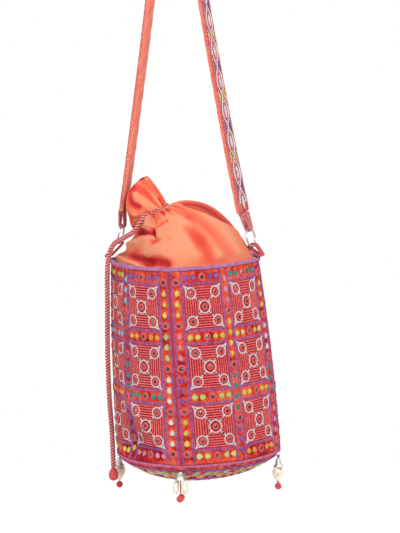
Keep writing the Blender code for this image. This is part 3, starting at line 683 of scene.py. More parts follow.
bag = {
    "rimX": 0.016, "rimZ": -0.578, "height": 0.255, "lean": 0.019, "tilt": math.tan(math.radians(2.0)),
    "rimHalf": 0.0985, "baseHalf": 0.110, "rimBulge": 0.020, "baseBulge": 0.027,
    "ground": 0.0013, "sideWidth": 0.168,
}
corners = np.array([(0.0, -1.0), (1.0, 0.0), (0.0, 1.0), (-1.0, 0.0)])
sideNames = ["front_right", "back_right", "back_left", "front_left"]
cornerNames = ["front", "right", "back", "left"]


def bagMiddle(side, u, t):
    # middle of the wall of one side, u from its left corner to its right one, t from rim to base
    a, b = corners[side % 4], corners[(side + 1) % 4]
    u, t = np.asarray(u, float), np.asarray(t, float)
    fixed = np.clip(t, 0, 1)
    half = bag["rimHalf"] + (bag["baseHalf"] - bag["rimHalf"]) * (1 - (1 - fixed) ** 2)
    bulge = (bag["rimBulge"] + (bag["baseBulge"] - bag["rimBulge"]) * t) * 4 * u * (1 - u)
    flat = (a * (1 - u)[..., None] + b * u[..., None]) * half[..., None]
    flat = flat + (a + b) / math.sqrt(2) * bulge[..., None]
    x = bag["rimX"] + bag["lean"] * t + flat[..., 0]
    z = bag["rimZ"] - bag["height"] * t + flat[..., 0] * bag["tilt"]
    return np.stack([x, flat[..., 1], z], axis=-1)


def bagNormal(side, u, t):
    u = np.clip(u, 0.004, 0.996)
    along = bagMiddle(side, u + 0.004, t) - bagMiddle(side, u - 0.004, t)
    down = bagMiddle(side, u, t + 0.004) - bagMiddle(side, u, t - 0.004)
    return unit(np.cross(down, along))


# face layout, millimetres from the middle of a side and from the rim

layout = {
    "panelLeft": [-65.8, 8.6],
    "panelTop": [20.0, 98.6, 177.2],
    "panel": 57.2,
    "columns": [-75.6, 0.0, 75.6],
    "rows": [9.6, 88.0, 166.6, 244.8],
    "edge": 81.8,
}


def panelShare(x, v):
    # 1 inside a panel with a soft rim, and the panel's own coordinates from -1 to 1
    best = np.zeros_like(x)
    px, pv = np.zeros_like(x), np.zeros_like(x)
    for left in layout["panelLeft"]:
        for top in layout["panelTop"]:
            a = (x - left - layout["panel"] / 2) / (layout["panel"] / 2)
            b = (v - top - layout["panel"] / 2) / (layout["panel"] / 2)
            inside = np.clip((1.03 - np.maximum(abs(a), abs(b))) / 0.06, 0, 1)
            hit = inside > best
            best, px, pv = np.where(hit, inside, best), np.where(hit, a, px), np.where(hit, b, pv)
    return best, px, pv


def relief(side, x, v):
    # how far the stuffed cloth stands out, in mm; x and v in mm
    inside, a, b = panelShare(x, v)
    puff = inside * (0.5 + 1.0 * np.clip(1 - a**2, 0, 1) * np.clip(1 - b**2, 0, 1))
    ruche = 0.30 * np.sin(x * 0.85 + 1.3 * np.sin(v * 0.31 + side))
    ruche = ruche * np.sin(v * 0.78 + 1.1 * np.sin(x * 0.23))
    for column in layout["columns"]:
        near = np.clip(1 - abs(x - column) / 9.0, 0, 1) ** 0.5
        place = v - 15.0 + 0.9 * np.sin(x * 0.8 + v * 0.11)
        ruche = ruche + near * 0.75 * np.cos(place * 2 * math.pi / 14.1)
    for row in layout["rows"]:
        near = np.clip(1 - abs(v - row) / 9.0, 0, 1) ** 0.5
        place = abs(abs(x) - 37.2) + 0.9 * np.sin(v * 0.9)
        ruche = ruche + near * 0.6 * np.cos(place * 2 * math.pi / 12.5)
    ruche = (1 - inside) * ruche
    slow = 0.9 * np.sin(v / 23.0 + side * 1.9 + x / 60.0) + 0.8 * np.sin(x / 19.0 + side * 2.3 + v / 90.0)
    edge = np.clip(1 - abs(x) / 84.0, 0, 1) ** 0.5 * np.clip(v / 12.0, 0, 1)
    out = puff + ruche + slow * edge * 0.75
    if side == 3:
        # the sagging fold that runs down to the near lower corner
        line = 176.0 + (x + 2.0) * 0.86
        below = np.clip((v - line) / 34.0, 0, 1) * np.clip((255.0 - v) / 16.0, 0, 1) ** 0.5
        fade = np.clip((x + 40.0) / 36.0, 0, 1) * np.clip((84.0 - x) / 12.0, 0.25, 1)
        ridge = bump(v, line, 9.0)
        out = out + fade * (2.0 * ridge - 6.5 * below * below)
    return out


def onSide(side, points):
    # flat layout points (x, -v, out) in metres to their place on a side
    x, v = points[:, 0] * 1000, -points[:, 1] * 1000
    u, t = points[:, 0] / bag["sideWidth"] + 0.5, -points[:, 1] / bag["height"]
    out = bag["ground"] + points[:, 2] + relief(side, x, v) / 1000
    return bagMiddle(side, u, t) + bagNormal(side, u, t) * out[:, None]


def sewer(place, body, ending, pieces):
    # a function that lays flat stitches on a surface and keeps the finished piece
    def sewOn(name, data, slot, lift=0.0):
        points = pointsOf(data)
        points[:, 2] += lift
        setPoints(data, place(points))
        pieces.append(finished(name + ending, data, body, slot))
    return sewOn


# drawcord from the neck down past the left corner

cordPlan = {
    "route": [
        (-0.0305, -0.0313, -0.5110), (-0.0360, -0.0393, -0.5220), (-0.0440, -0.0395, -0.5340),
        (-0.0590, -0.0340, -0.5440), (-0.0740, -0.0280, -0.5530), (-0.0818, -0.0258, -0.5690),
        (-0.0846, -0.0250, -0.5930), (-0.0849, -0.0245, -0.6400), (-0.0849, -0.0245, -0.7000),
        (-0.0831, -0.0245, -0.7590), (-0.0794, -0.0245, -0.8120), (-0.0775, -0.0245, -0.8600)],
    "diameter": 0.0068, "strands": 3, "lay": 0.0041, "around": 18,
    "ball": (0.0125, 0.0180), "ballTurns": 16,
}


def ropeMesh(name, line, length, plan, perTurn=7):
    # one closed skin round all strands, lobed like a laid rope
    n, m = max(8, int(length / plan["lay"] * perTurn)), plan["around"]
    line, _ = evenLine(line, n)
    ahead = unit(np.gradient(line, axis=0))
    side = unit(np.cross(ahead, (0.1, 0.95, 0.05)))
    other = np.cross(ahead, side)
    turn, rows, tone = fullTurn(m), [], []
    for i in range(n):
        spin = 2 * math.pi * i / perTurn / plan["strands"]
        lobe = abs(np.cos((turn - spin) * plan["strands"] / 2))
        r = plan["diameter"] / 2 * (0.72 + 0.32 * lobe**0.6)
        rows.append(line[i] + side[i] * (np.cos(turn) * r)[:, None] + other[i] * (np.sin(turn) * r)[:, None])
        # the ply attribute is high in the grooves between strands, where the cord's look paints shade
        tone += (1 - lobe).tolist()
    faces = [(i * m + j, i * m + (j + 1) % m, (i + 1) * m + (j + 1) % m, (i + 1) * m + j)
             for i in range(n - 1) for j in range(m)]
    faces += [tuple(reversed(range(m))), tuple((n - 1) * m + j for j in range(m))]
    data = bpy.data.meshes.new(name)
    data.from_pydata(np.stack(rows).reshape(-1, 3).tolist(), [], faces)
    label(data, "ply", tone)
    return data


def ropeLook():
    look = Finish("twistedCord", {"Sheen Weight": 0.08, "Specular IOR Level": 0.25})
    groove, worn = look.attribute("ply"), look.noise(210.0, 3.0)
    fibre = look.bands(1500.0, look.object, "DIAGONAL", 2.0)
    # painted shade: pale pink on the strands' crowns, red, then nearly black in the grooves between them
    shade = look.ramp(groove + (worn - 0.5) * 0.5,
        [(0.14, (1.0, 0.42, 0.39)), (0.44, (0.78, 0.085, 0.10)), (0.74, (0.28, 0.006, 0.018))])
    # painted shade along the twist's fibre bands
    fine = look.mix(fibre * 0.22, shade, (0.35, 0.03, 0.05))
    return look.surface(fine, 0.75 + worn * 0.15, fibre + worn, 0.0003)


def makeCord(plan):
    line = catmull(plan["route"], 14)
    length = lengthOf(line)
    look = ropeLook()
    data = ropeMesh("hangingCord", line, length, plan)
    rope = finished("hangingCord", data, "bag", "rose_thread", ["drawcord"], look=look)
    wide, tall = plan["ball"]
    coil = []
    for share in np.arange(331) / 330:
        angle, high = share * plan["ballTurns"] * 2 * math.pi, (share - 0.5) * 2
        wobble = 0.00012 * math.sin(angle * 0.37)
        r = (wide / 2 - 0.0008) * math.sqrt(max(0.0, 1 - high**2)) * (1.05 + 0.16 * high) + 0.0003 + wobble
        coil.append((r * math.cos(angle), r * math.sin(angle), -high * (tall / 2 - 0.0006)))
    wrap = tubeMesh("wrap", coil, 0.00068, 6)
    core = blob("core", (tall * 0.94, wide * 0.90, wide * 0.90), 20, 12)
    place = Matrix.Translation(Vector(plan["route"][-1]) - Vector((0, 0, tall / 2 + 0.0003)))
    both = merged("cordBall", [(wrap, place), (core, place @ Matrix.Rotation(math.pi / 2, 4, "Y"))])
    ball = finished("cordBall", both, "bag", "rose_thread", ["drawcord_ball"], look=looks["rose"])
    path = [tuple(float(c) for c in p) for p in evenLine(line, 110)[0]]
    return length


makeCamera(photoView)
cordLength = makeCord(cordPlan)
print("cord", round(cordLength, 4))


# the four sides: quilted cloth with its embroidery


def makeSideCloth(side):
    edges = set()
    for left in layout["panelLeft"]:
        edges.update([left, left + layout["panel"]])
    xs = np.unique(np.concatenate([np.linspace(-84.0, 84.0, 85), np.array(sorted(edges))]))
    vs = np.linspace(0.0, 255.0, 118)
    gx, gv = np.meshgrid(xs, vs)
    flat = np.stack([gx.ravel() / 1000, -gv.ravel() / 1000, np.zeros(gx.size)], axis=1)
    placedPoints = onSide(side, flat).reshape(len(vs), len(xs), 3)
    uv = [[(x / 1000, v / 1000) for x in xs] for v in vs]
    data = sheetMesh("side", placedPoints, uv)
    inside, _, _ = panelShare(gx.ravel(), gv.ravel())
    high = relief(side, gx.ravel(), gv.ravel())
    label(data, "zone", inside)
    # painted shade: darker where the relief is low
    label(data, "hollow", np.clip(0.5 - high * 0.35, 0, 1))
    data = thickened(data, 0.0022)
    data.materials.append(looks["quilt"])
    return data


def circle(x, v, radius, count=40):
    return [((x + radius * math.cos(a)) / 1000, -(v + radius * math.sin(a)) / 1000) for a in fullTurn(count)]


def straight(x0, v0, x1, v1, step=3.0):
    count = max(2, int(math.hypot(x1 - x0, v1 - v0) / step) + 1)
    return [((x0 + (x1 - x0) * k / (count - 1)) / 1000, -(v0 + (v1 - v0) * k / (count - 1)) / 1000)
            for k in range(count)]


embroidery = {
    "middleCircle": 8.1, "cornerCircle": 6.9, "cornerPlace": 18.7,
    "ribPitch": 3.3, "ribStitch": 0.0020, "chainPitch": 0.0021, "braidPitch": 0.0020,
    "rib": (0.0025, 0.0020, 0.0019), "bead": (0.0027, 0.0021, 0.0018), "seed": (0.0100, 0.0078, 0.0028),
    "mirror": 0.0024, "ring": (0.0034, 0.0013), "lowSeed": (0.0100, 0.0078, 0.0026),
    "palette": {
        "yellow": (0.92, 0.62, 0.06), "paleYellow": (0.93, 0.72, 0.22), "orange": (0.93, 0.38, 0.04),
        "pink": (0.88, 0.26, 0.38), "purple": (0.30, 0.07, 0.40), "teal": (0.01, 0.27, 0.23),
        "blue": (0.34, 0.56, 0.80), "green": (0.55, 0.66, 0.14), "white": (0.90, 0.80, 0.78),
        "darkRed": (0.42, 0.02, 0.04), "navy": (0.015, 0.015, 0.05), "lime": (0.66, 0.76, 0.25),
    },
}
# seeds of each side's three columns from the rim down: M is a mirror, then a colour and how many seeds
seedOrders = {
    0: [["M", ("yellow", 3), "M", ("pink", 3), "M", ("purple", 3), "M", ("yellow", 3), "M"],
        [("pink", 3), "M", ("yellow", 4), "M", ("teal", 4), "M", ("purple", 3)],
        ["M", ("yellow", 3), "M", ("white", 3), "M", ("teal", 3), "M", ("pink", 3), "M"]],
    3: [[("teal", 3), "M", ("darkRed", 3), "M", ("yellow", 3), "M", ("purple", 3), "M", ("pink", 1)],
        [("blue", 3), "M", ("darkRed", 3), "M", ("teal", 3), "M", ("purple", 3), "M", ("yellow", 1)],
        ["M", ("yellow", 3), "M", ("green", 3), "M", ("white", 3), "M", ("white", 3), "M"]],
}
rowColours = {
    0: [("purple", "teal"), ("yellow", "paleYellow"), ("green", "yellow"), ("lime", "orange")],
    3: [("yellow", "purple"), ("blue", "orange"), ("orange", "teal"), ("yellow", "pink")],
}


def chainLines():
    # white chain: five circles on each panel, and a diamond tip outside each corner circle
    found, beads, rings, plan = [], [], [], embroidery

    def join(x0, v0, x1, v1, step):
        found.append((straight(x0, v0, x1, v1, step), False))

    near, far = plan["middleCircle"] / math.sqrt(2), plan["cornerPlace"] - plan["cornerCircle"] / math.sqrt(2)
    tip, wide, slim = layout["panel"] / 2 - 1.0, plan["cornerCircle"] * 0.93, plan["cornerCircle"] * 0.36
    for left in layout["panelLeft"]:
        for top in layout["panelTop"]:
            x, v = left + layout["panel"] / 2, top + layout["panel"] / 2
            found.append((circle(x, v, plan["middleCircle"]), True))
            rings.append((x, v))
            for sx in (-1, 1):
                for sv in (-1, 1):
                    cx, cv = x + sx * plan["cornerPlace"], v + sv * plan["cornerPlace"]
                    found.append((circle(cx, cv, plan["cornerCircle"]), True))
                    rings.append((cx, cv))
                    join(x + sx * near, v + sv * near, x + sx * far, v + sv * far, 2.0)
                    beads.append((x + sx * (near + far) / 2, v + sv * (near + far) / 2, 45.0 * sx * -sv))
                    for a, b in ((slim, wide), (wide, slim)):
                        join(cx + sx * a, cv + sv * b, x + sx * tip, v + sv * tip, 1.5)
    return found, beads, rings


def braidLines():
    found = []
    for x in (-layout["edge"], layout["edge"]):
        found.append((straight(x, 1.0, x, 254.0), False))
    for left in layout["panelLeft"]:
        for x in (left - 2.0, left + layout["panel"] + 2.0):
            found.append((straight(x, 1.0, x, 254.0), False))
        for top in layout["panelTop"]:
            for v in (top - 2.0, top + layout["panel"] + 2.0):
                found.append((straight(left - 1.0, v, left + layout["panel"] + 1.0, v), False))
    return found


def ribLines():
    # straight ribs across each of a panel's four triangles, cut where the circles lie
    found, half, pitch = [], layout["panel"] / 2 - 0.8, embroidery["ribPitch"]
    for left in layout["panelLeft"]:
        for top in layout["panelTop"]:
            x, v = left + layout["panel"] / 2, top + layout["panel"] / 2
            near = embroidery["cornerPlace"]
            holes = [(0.0, 0.0, 7.4)] + [(sx * near, sv * near, 6.2) for sx in (-1, 1) for sv in (-1, 1)]
            for k in range(1, int(half / pitch) + 1):
                d = k * pitch
                for turn in range(4):
                    run = np.arange(-d + 0.6, d - 0.5, 1.1)
                    for piece in piecesOutside(run, d, turn, holes):
                        line = []
                        for s in piece:
                            a, b = turned(s, -d, turn)
                            line.append(((x + a) / 1000, -(v + b) / 1000))
                        found.append((line, False))
    return found


def turned(a, b, turn):
    for _ in range(turn):
        a, b = -b, a
    return a, b


def piecesOutside(run, d, turn, holes):
    kept, part = [], []
    for s in run:
        a, b = turned(s, -d, turn)
        if all((a - hx) ** 2 + (b - hv) ** 2 > r * r for hx, hv, r in holes):
            part.append(s)
        else:
            if len(part) > 1:
                kept.append(part)
            part = []
    if len(part) > 1:
        kept.append(part)
    return kept


def seedMesh(long, wide, high):
    # a pad of satin stitches, rounded at one end and narrow at the other
    def shaped(p):
        share = p.x / (long / 2)
        taper = 0.80 - 0.34 * share - 0.18 * share * share
        return (p.x, p.y * taper * 1.25, max(p.z, -0.0002))
    return blob("seed", (long, wide, high), 8, 8, shaped)


def spot(x, v, high, turn=0, size=(1, 1, 1), tint=(1, 1, 1)):
    # a mark at x and v in mm
    return x / 1000, -v / 1000, high, turn, size, tint


def seedMarks(side):
    # seeds and mirrors in the three columns and in the rows between panels
    orders = seedOrders.get(side) or seedOrders[0 if side == 2 else 3]
    rows = rowColours.get(side) or rowColours[0 if side == 2 else 3]
    rng = np.random.default_rng(40 + side)
    seeds, mirrors = [], []

    def tinted(name):
        return tuple(np.clip(varied(rng, embroidery["palette"][name], 0.85, 1.12), 0, 1).tolist())

    for x, order in zip(layout["columns"], orders):
        items = []
        for entry in order:
            items += ["M"] if entry == "M" else [entry[0]] * entry[1]
        pitch = 240.0 / len(items)
        for k, entry in enumerate(items):
            v = 8.0 + pitch * (k + 0.5)
            if entry == "M":
                mirrors.append((x, v))
            else:
                scale = (rng.uniform(0.78, 0.92), rng.uniform(0.80, 0.96), 1.0)
                at = x / 1000 + rng.uniform(-0.0005, 0.0005)
                turn = (-90 if x == 0 else 90) + rng.uniform(-8, 8)
                seeds.append((at, -v / 1000, 0.0004, turn, scale, tinted(entry)))
    for v, names in zip(layout["rows"], rows):
        for left, name in zip(layout["panelLeft"], names):
            middle = left + layout["panel"] / 2
            mirrors.append((middle, v))
            for sign in (-1, 1):
                for dist in (13.0, 23.5):
                    scale = (rng.uniform(0.80, 0.94), rng.uniform(0.92, 1.08), 1.0)
                    turn = 0 if sign < 0 else 180
                    seeds.append(spot(middle + sign * dist, v, 0.0004, turn, scale, tinted(name)))
    return seeds, mirrors


def mirrorMesh(radius):
    # thin domed disc with a rolled rim
    profile = [(0.5, 0.0008), (0.9, 0.00062), (1.0, 0.0003), (0.98, -0.0004)]
    rings = [[(radius * share * math.cos(a), radius * share * math.sin(a), high) for a in fullTurn(16)]
             for share, high in profile]
    data = latheMesh("mirror", [[(0, 0, 0.00085)], *rings, [(0, 0, -0.0004)]])
    data.shade_smooth()
    return data


def ringMesh(radius, thick, around=36, cross=6):
    # a thread-wrapped ring round a mirror
    return hoop("threadRing", radius, radius, thick, around, cross, (-0.10, 0.16), 1.1)


def veeMesh(size=1.0):
    # one pair of slanting stitches, as a plaited braid shows them
    leg = blob("leg", (0.0029 * size, 0.0013 * size, 0.0014 * size), 5, 4)
    one = Matrix.Translation((0, 0.0010 * size, 0.0004)) @ Matrix.Rotation(math.radians(33), 4, "Z")
    two = Matrix.Translation((0, -0.0010 * size, 0.0004)) @ Matrix.Rotation(math.radians(-33), 4, "Z")
    return merged("vee", [(leg, one), (leg, two)])


def linkMesh(size=1.0):
    # one chain stitch: an open loop of thread a little longer than its pitch
    return hoop("link", 0.00125 * size, 0.00062 * size, 0.00042 * size)


def makeSide(side):
    name, pieces, plan = sideNames[side], [], embroidery
    cloth = finished("cloth_" + name, makeSideCloth(side), "bag", "embroidered_cotton", ["side_" + name], 60)
    sewOn = sewer(lambda points: onSide(side, points), "bag", "_" + name, pieces)
    chains, beads, rings = chainLines()
    data = sewn("chain", chains, linkMesh(), plan["chainPitch"], looks["white"], side)
    sewOn("chain", data, "rose_thread", 0.0007)
    data = sewn("braid", braidLines(), veeMesh(), plan["braidPitch"], looks["purple"], side)
    sewOn("braid", data, "lilac_braid", 0.0003)
    rib = blob("rib", plan["rib"], 6, 4)
    data = sewn("ribs", ribLines(), rib, plan["ribStitch"], looks["rose"], side, 0.08)
    sewOn("ribs", data, "rose_thread")
    seeds, mirrors = seedMarks(side)
    sewOn("seeds", placed("seeds", seeds, seedMesh(*plan["seed"]), looks["dyed"]), "rose_thread")

    def circles(high, large):
        return [spot(*at, high) for at in rings] + [spot(*at, high, 0, (large, large, 1)) for at in mirrors]

    data = placed("mirrors", circles(0.0003, 1.3), mirrorMesh(plan["mirror"]), looks["mirror"])
    sewOn("mirrors", data, "silver_metal", 0.0002)
    data = placed("mirrorRings", circles(0.0004, 1.2), ringMesh(*plan["ring"]), looks["rose"])
    sewOn("mirrorRings", data, "rose_thread", 0.0003)
    marks = [spot(x, v, 0.0008, turn, (1, 1, 1), plan["palette"]["navy"]) for x, v, turn in beads]
    data = placed("beads", marks, blob("bead", plan["bead"], 8, 6), looks["dyed"])
    sewOn("beads", data, "rose_thread", 0.0004)


for side in range(4):
    makeSide(side)
    print("side", sideNames[side])


# braids round the rim, down the corners and round the base


def rimPath(t, out, drop, count):
    found = []
    for side in range(4):
        u = np.arange(count) / count
        ease = np.clip(np.minimum(u, 1 - u) * count / 2.2, 0, 1)
        middle = bagMiddle(side, u, np.full(count, t))
        normal = bagNormal(side, u, np.full(count, t))
        corner = np.zeros((count, 3))
        corner[:, :2] = np.where((u < 0.5)[:, None], corners[side], corners[(side + 1) % 4])
        facing = unit(normal * ease[:, None] + corner * (1 - ease)[:, None])
        found.append(middle + facing * out - np.array([0, 0, drop]))
    return np.concatenate(found)


def fromAxis(at):
    # level direction away from the bag's middle line
    t = (bag["rimZ"] - at[:, 2]) / bag["height"]
    away = at - np.stack([bag["rimX"] + bag["lean"] * t, np.zeros(len(at)), at[:, 2]], axis=1)
    away[:, 2] = 0
    return unit(away)


def braidOnPath(name, path, size, lift, seed, look):
    # vees laid round a closed line in space, standing out from the line of the bag's middle
    run, pitch = np.vstack([path, path[:1]]), edging["veePitch"] * size
    even, _ = evenLine(run, int(lengthOf(run) / pitch))
    flat = [([(pitch * k, 0.0) for k in range(len(even))], False)]
    data = sewn(name, flat, veeMesh(size), pitch, look, seed)
    points = pointsOf(data)
    place = points[:, 0] / pitch
    base = np.floor(np.clip(place, 0, len(even) - 1.001)).astype(int)
    share = (place - base)[:, None]
    at = even[base] * (1 - share) + even[base + 1] * share
    ahead = unit(even[base + 1] - even[base])
    away = fromAxis(at)
    away = unit(away - ahead * np.sum(away * ahead, axis=1, keepdims=True))
    setPoints(data, at + np.cross(away, ahead) * points[:, 1:2] + away * (points[:, 2:3] + lift))
    return data


edging = {
    "veePitch": 0.0020,
    # share down the side, way out, drop; the cord's radius, look and tone;
    # the vees' size, lift, seed and look
    "paths": {"rim": (0.0, 0.0026, -0.0024, 0.0021, "lilac", 0.2, 1.25, 0.0012, 3, "lilac"),
              "base": (1.0, 0.0012, 0.0024, 0.0017, "pink", 0.4, 1.0, 0.0008, 5, "purple")},
    "corner": {"out": 0.0012, "radius": 0.0019, "tone": 0.1},
}


def makeEdges(plan):
    for name, (t, out, lower, radius, look, tone, size, lift, seed, veeLook) in plan["paths"].items():
        path = rimPath(t, out, lower, 40)
        core = tubeMesh(name + "Cord", path, radius, 8, True)
        label(core, "tone", [tone] * len(core.vertices))
        finished(name + "Cord", core, "bag", "lilac_braid", [name + "_braid"], look=looks[look])
        vees = braidOnPath(name + "Braid", path, size, lift, seed, looks[veeLook])
        finished(name + "Braid", vees, "bag", "lilac_braid")
    for side, name in enumerate(cornerNames):
        line = bagMiddle(side, np.zeros(90), np.linspace(0.004, 0.996, 90))
        away = np.array((*corners[side], 0.0))
        data = tubeMesh("cornerCord", line + away * plan["corner"]["out"], plan["corner"]["radius"], 8)
        label(data, "tone", [plan["corner"]["tone"]] * len(data.vertices))
        node = ["corner_cord_" + name]
        finished("cornerCord_" + name, data, "bag", "lilac_braid", node, look=looks["redThread"])


makeEdges(edging)
print("edges")


# gathered top: pleated dome from the rim to the neck, and the ruff above it

top = {
    "neck": np.array((-0.038, -0.010, 0.066)), "neckTilt": math.radians(25.0), "neckRadius": (0.0175, 0.0155),
    "rise": (0.017, 0.011), "reach": (0.0435, 0.0315), "sag": 0.008, "leanIn": 0.80, "swell": 0.003,
    "lip": np.array([
        (-0.051, -0.008, 0.112), (-0.061, 0.010, 0.110), (-0.070, 0.015, 0.099), (-0.073, 0.009, 0.072),
        (-0.067, -0.004, 0.043), (-0.070, -0.024, 0.054), (-0.072, -0.033, 0.083), (-0.065, -0.025, 0.104)]),
    "around": 300, "rows": 116, "domeRows": 76, "thickness": 0.0011, "toCamera": (0.206, -0.969, 0.139),
    "hem": (1.94, 1.88), "hemStitch": (0.0024, 0.0007, 0.0006), "hemPitch": 0.0034,
    "neckCord": {"diameter": 0.0056, "strands": 3, "lay": 0.0038, "around": 15},
}
rimMiddle = np.array((bag["rimX"], 0.0, bag["rimZ"]))


def topPoint(w, s):
    # w round the rim from the near corner, s from the rim (0) to the neck (1) and to the lip (2)
    angle = np.radians(90.0 * (w - 1))
    side = np.floor(w).astype(int) % 4
    u = w - np.floor(w)
    e1 = np.array((math.cos(top["neckTilt"]), 0, math.sin(top["neckTilt"])))
    c, d = np.cos(angle)[..., None], np.sin(angle)[..., None]
    e2, (wide, deep) = np.array((0, 1, 0)), top["neckRadius"]
    outward = e1 * c + e2 * d
    neck = rimMiddle + top["neck"] + e1 * wide * c + e2 * deep * d
    rim = np.zeros(outward.shape)
    for k in range(4):
        hit = side == k
        level = np.zeros(hit.sum())
        rim[hit] = bagMiddle(k, u[hit], level) - bagNormal(k, u[hit], level) * 0.001
    inner = rimMiddle * (1 - top["leanIn"]) + rim * top["leanIn"]
    high = rim[..., 2] + top["rise"][0] + top["rise"][1] * c[..., 0]
    first = np.stack([inner[..., 0], inner[..., 1], high], axis=-1)
    second = neck + outward * (top["reach"][0] + top["reach"][1] * c)
    second[..., 2] -= top["sag"] * (1 - c[..., 0]) / 2
    b = np.clip(s, 0, 1)[..., None]
    dome = rim * (1 - b) ** 3 + first * 3 * b * (1 - b) ** 2 + second * 3 * b * b * (1 - b) + neck * b**3
    place = (w - 1) % 4 * 2
    k = np.floor(place).astype(int)
    f = (place - k)[..., None]
    a0, a1, a2, a3 = (top["lip"][(k + j) % 8] for j in (-1, 0, 1, 2))
    curve = (2 * a0 - 5 * a1 + 4 * a2 - a3) * f**2 + (3 * a1 - a0 - 3 * a2 + a3) * f**3
    lip = 0.5 * (2 * a1 + (a2 - a0) * f + curve)
    r = np.clip(s - 1, 0, 1)[..., None]
    ruff = neck * (1 - r) + (rimMiddle + lip) * r + outward * (top["swell"] * np.sin(math.pi * r))
    return np.where(s[..., None] <= 1, dome, ruff), outward


def pleats(w, s):
    # height of the gathers in mm, largest near the neck, as ridges that start and end at different heights
    angle = np.radians(90.0 * (w - 1))
    rng = np.random.default_rng(9)
    rise = np.zeros_like(angle)
    near = np.clip(s, 0, 1) ** 1.6
    for k in range(26):
        at = 2 * math.pi * (k + rng.uniform(-0.35, 0.35)) / 26
        wide = rng.uniform(0.055, 0.10)
        start = rng.uniform(0.05, 0.55)
        drift = rng.uniform(-0.28, 0.28)
        gap = (angle - at - drift * (1 - s) + math.pi) % (2 * math.pi) - math.pi
        spread = wide * (1 + 0.9 * np.clip(1 - s, 0, 1))
        grow = np.clip((s - start) / (1.02 - start), 0, 1)
        rise += rng.uniform(1.4, 2.6) * bump(gap, 0, spread) * grow ** 0.8
    broad = 1.5 * np.sin(3 * angle + 0.6) + 1.2 * np.sin(5 * angle + 2.1 + s * 2.2)
    broad += 0.8 * np.sin(8 * angle - s * 3.0)
    rise += broad * np.sin(math.pi * np.clip(s, 0, 1)) ** 0.7
    rise += 0.35 * np.sin(21 * angle + 5 * np.sin(s * 4)) * near * np.clip(2.2 - s, 0, 1)
    flare = np.clip(s - 1, 0, 1)
    rise *= 1 - 0.75 * np.clip((s - 1.04) / 0.5, 0, 1)
    rise += flare * (2.2 * np.sin(4 * angle + 1.0) + 1.0 * np.sin(9 * angle))
    return rise


# folds seen in the photograph: points in its pixels, half width in pixels, height in mm
photoFolds = [
    ([(167, 219), (182, 220.5), (196, 226), (206, 235), (214, 246), (219, 254)], 4.5, 2.6),
    ([(129, 247), (140, 243), (151, 240), (163, 235)], 3.0, 3.6),
    ([(153, 243), (160, 242), (167, 239)], 3.4, -3.6),
    ([(165, 240), (157, 248), (148, 257)], 3.2, 3.4),
    ([(119, 257), (131, 258.5), (143, 261), (149, 263)], 3.6, -4.6),
    ([(148, 262), (158, 262), (168, 264)], 4.4, -4.6),
    ([(112, 254), (124, 250), (138, 245)], 4.0, 3.2),
    ([(113, 257), (124, 263.5), (136, 267.5)], 2.4, 2.4),
    ([(139, 233), (146, 234), (151, 235)], 2.8, -4.0),
    ([(153.5, 231), (154.5, 235), (156, 238)], 2.2, -5.0),
    ([(150, 229), (158, 232), (166, 226)], 2.4, 2.6),
    ([(172, 238), (182, 246), (196, 254)], 7.0, 1.7),
    ([(180, 228), (186, 236), (190, 246)], 4.0, 1.5),
    ([(188, 218), (201, 231), (214, 246)], 4.2, -0.7),
    ([(224, 230), (232, 240), (238, 251)], 4.0, 1.0),
    ([(172, 214), (178, 224), (176, 240), (170, 252)], 3.0, 1.6),
    ([(156, 208), (163, 213), (167, 222)], 1.5, -2.0),
    ([(160, 206), (168, 211), (174, 217)], 1.4, -2.0),
    ([(152, 214), (156, 220), (157, 227)], 1.4, -1.8),
]
# creases of the ruff, mostly as painted shade
ruffFolds = [
    ([(130.5, 187), (130.5, 197), (132.5, 205), (139, 208)], 3.2, -4.6),
    ([(159.5, 199), (162, 204), (164.5, 210)], 1.1, -4.4),
    ([(149, 180.5), (156, 190), (165, 203)], 1.1, -2.2),
    ([(136, 195), (146, 202), (154, 208)], 3.0, 2.4),
    ([(134, 216), (137, 223), (141, 229)], 2.4, 1.6),
    ([(144, 189), (150, 197), (156, 206)], 1.6, -1.6),
]
# a fold that lies over the cloth behind it: its edge, the step down behind it in mm, and how much and how far
# its painted shadow darkens the cloth behind it
lappedFolds = [
    ([(176, 204), (187, 208), (200, 212.5), (215, 219), (231.7, 225.6), (239, 231.5)], 4.2, 0.40, 22.0),
    ([(140, 229), (148, 229.5), (155, 229), (162, 224)], -2.6, 0.30, 6.0),
]


def toPhoto(points):
    # where the photograph shows a point in space, nearly
    mm = points * 1000
    px = 173 + (mm[..., 0] * 0.978 + mm[..., 1] * 0.208) / 1.33
    py = 261.7 - (mm[..., 2] + 578 + mm[..., 1] * 0.139) / 1.33
    return px, py


def nearLine(px, py, line):
    # distance to a line of photo points, and the side on which a place lies
    best, upper = np.full(px.shape, 1e9), np.zeros(px.shape)
    for (x0, y0), (x1, y1) in zip(line, line[1:]):
        dx, dy = x1 - x0, y1 - y0
        share = np.clip(((px - x0) * dx + (py - y0) * dy) / (dx ** 2 + dy ** 2), 0, 1)
        away = np.hypot(px - x0 - share * dx, py - y0 - share * dy)
        upper = np.where(away < best, np.sign(dx * (py - y0) - dy * (px - x0)), upper)
        best = np.minimum(best, away)
    return best, upper


def strokeHeight(px, py, strokes, facing):
    total = np.zeros_like(px)
    for line, wide, high in strokes:
        total += high * bump(nearLine(px, py, line)[0], 0, wide)
    return total * facing


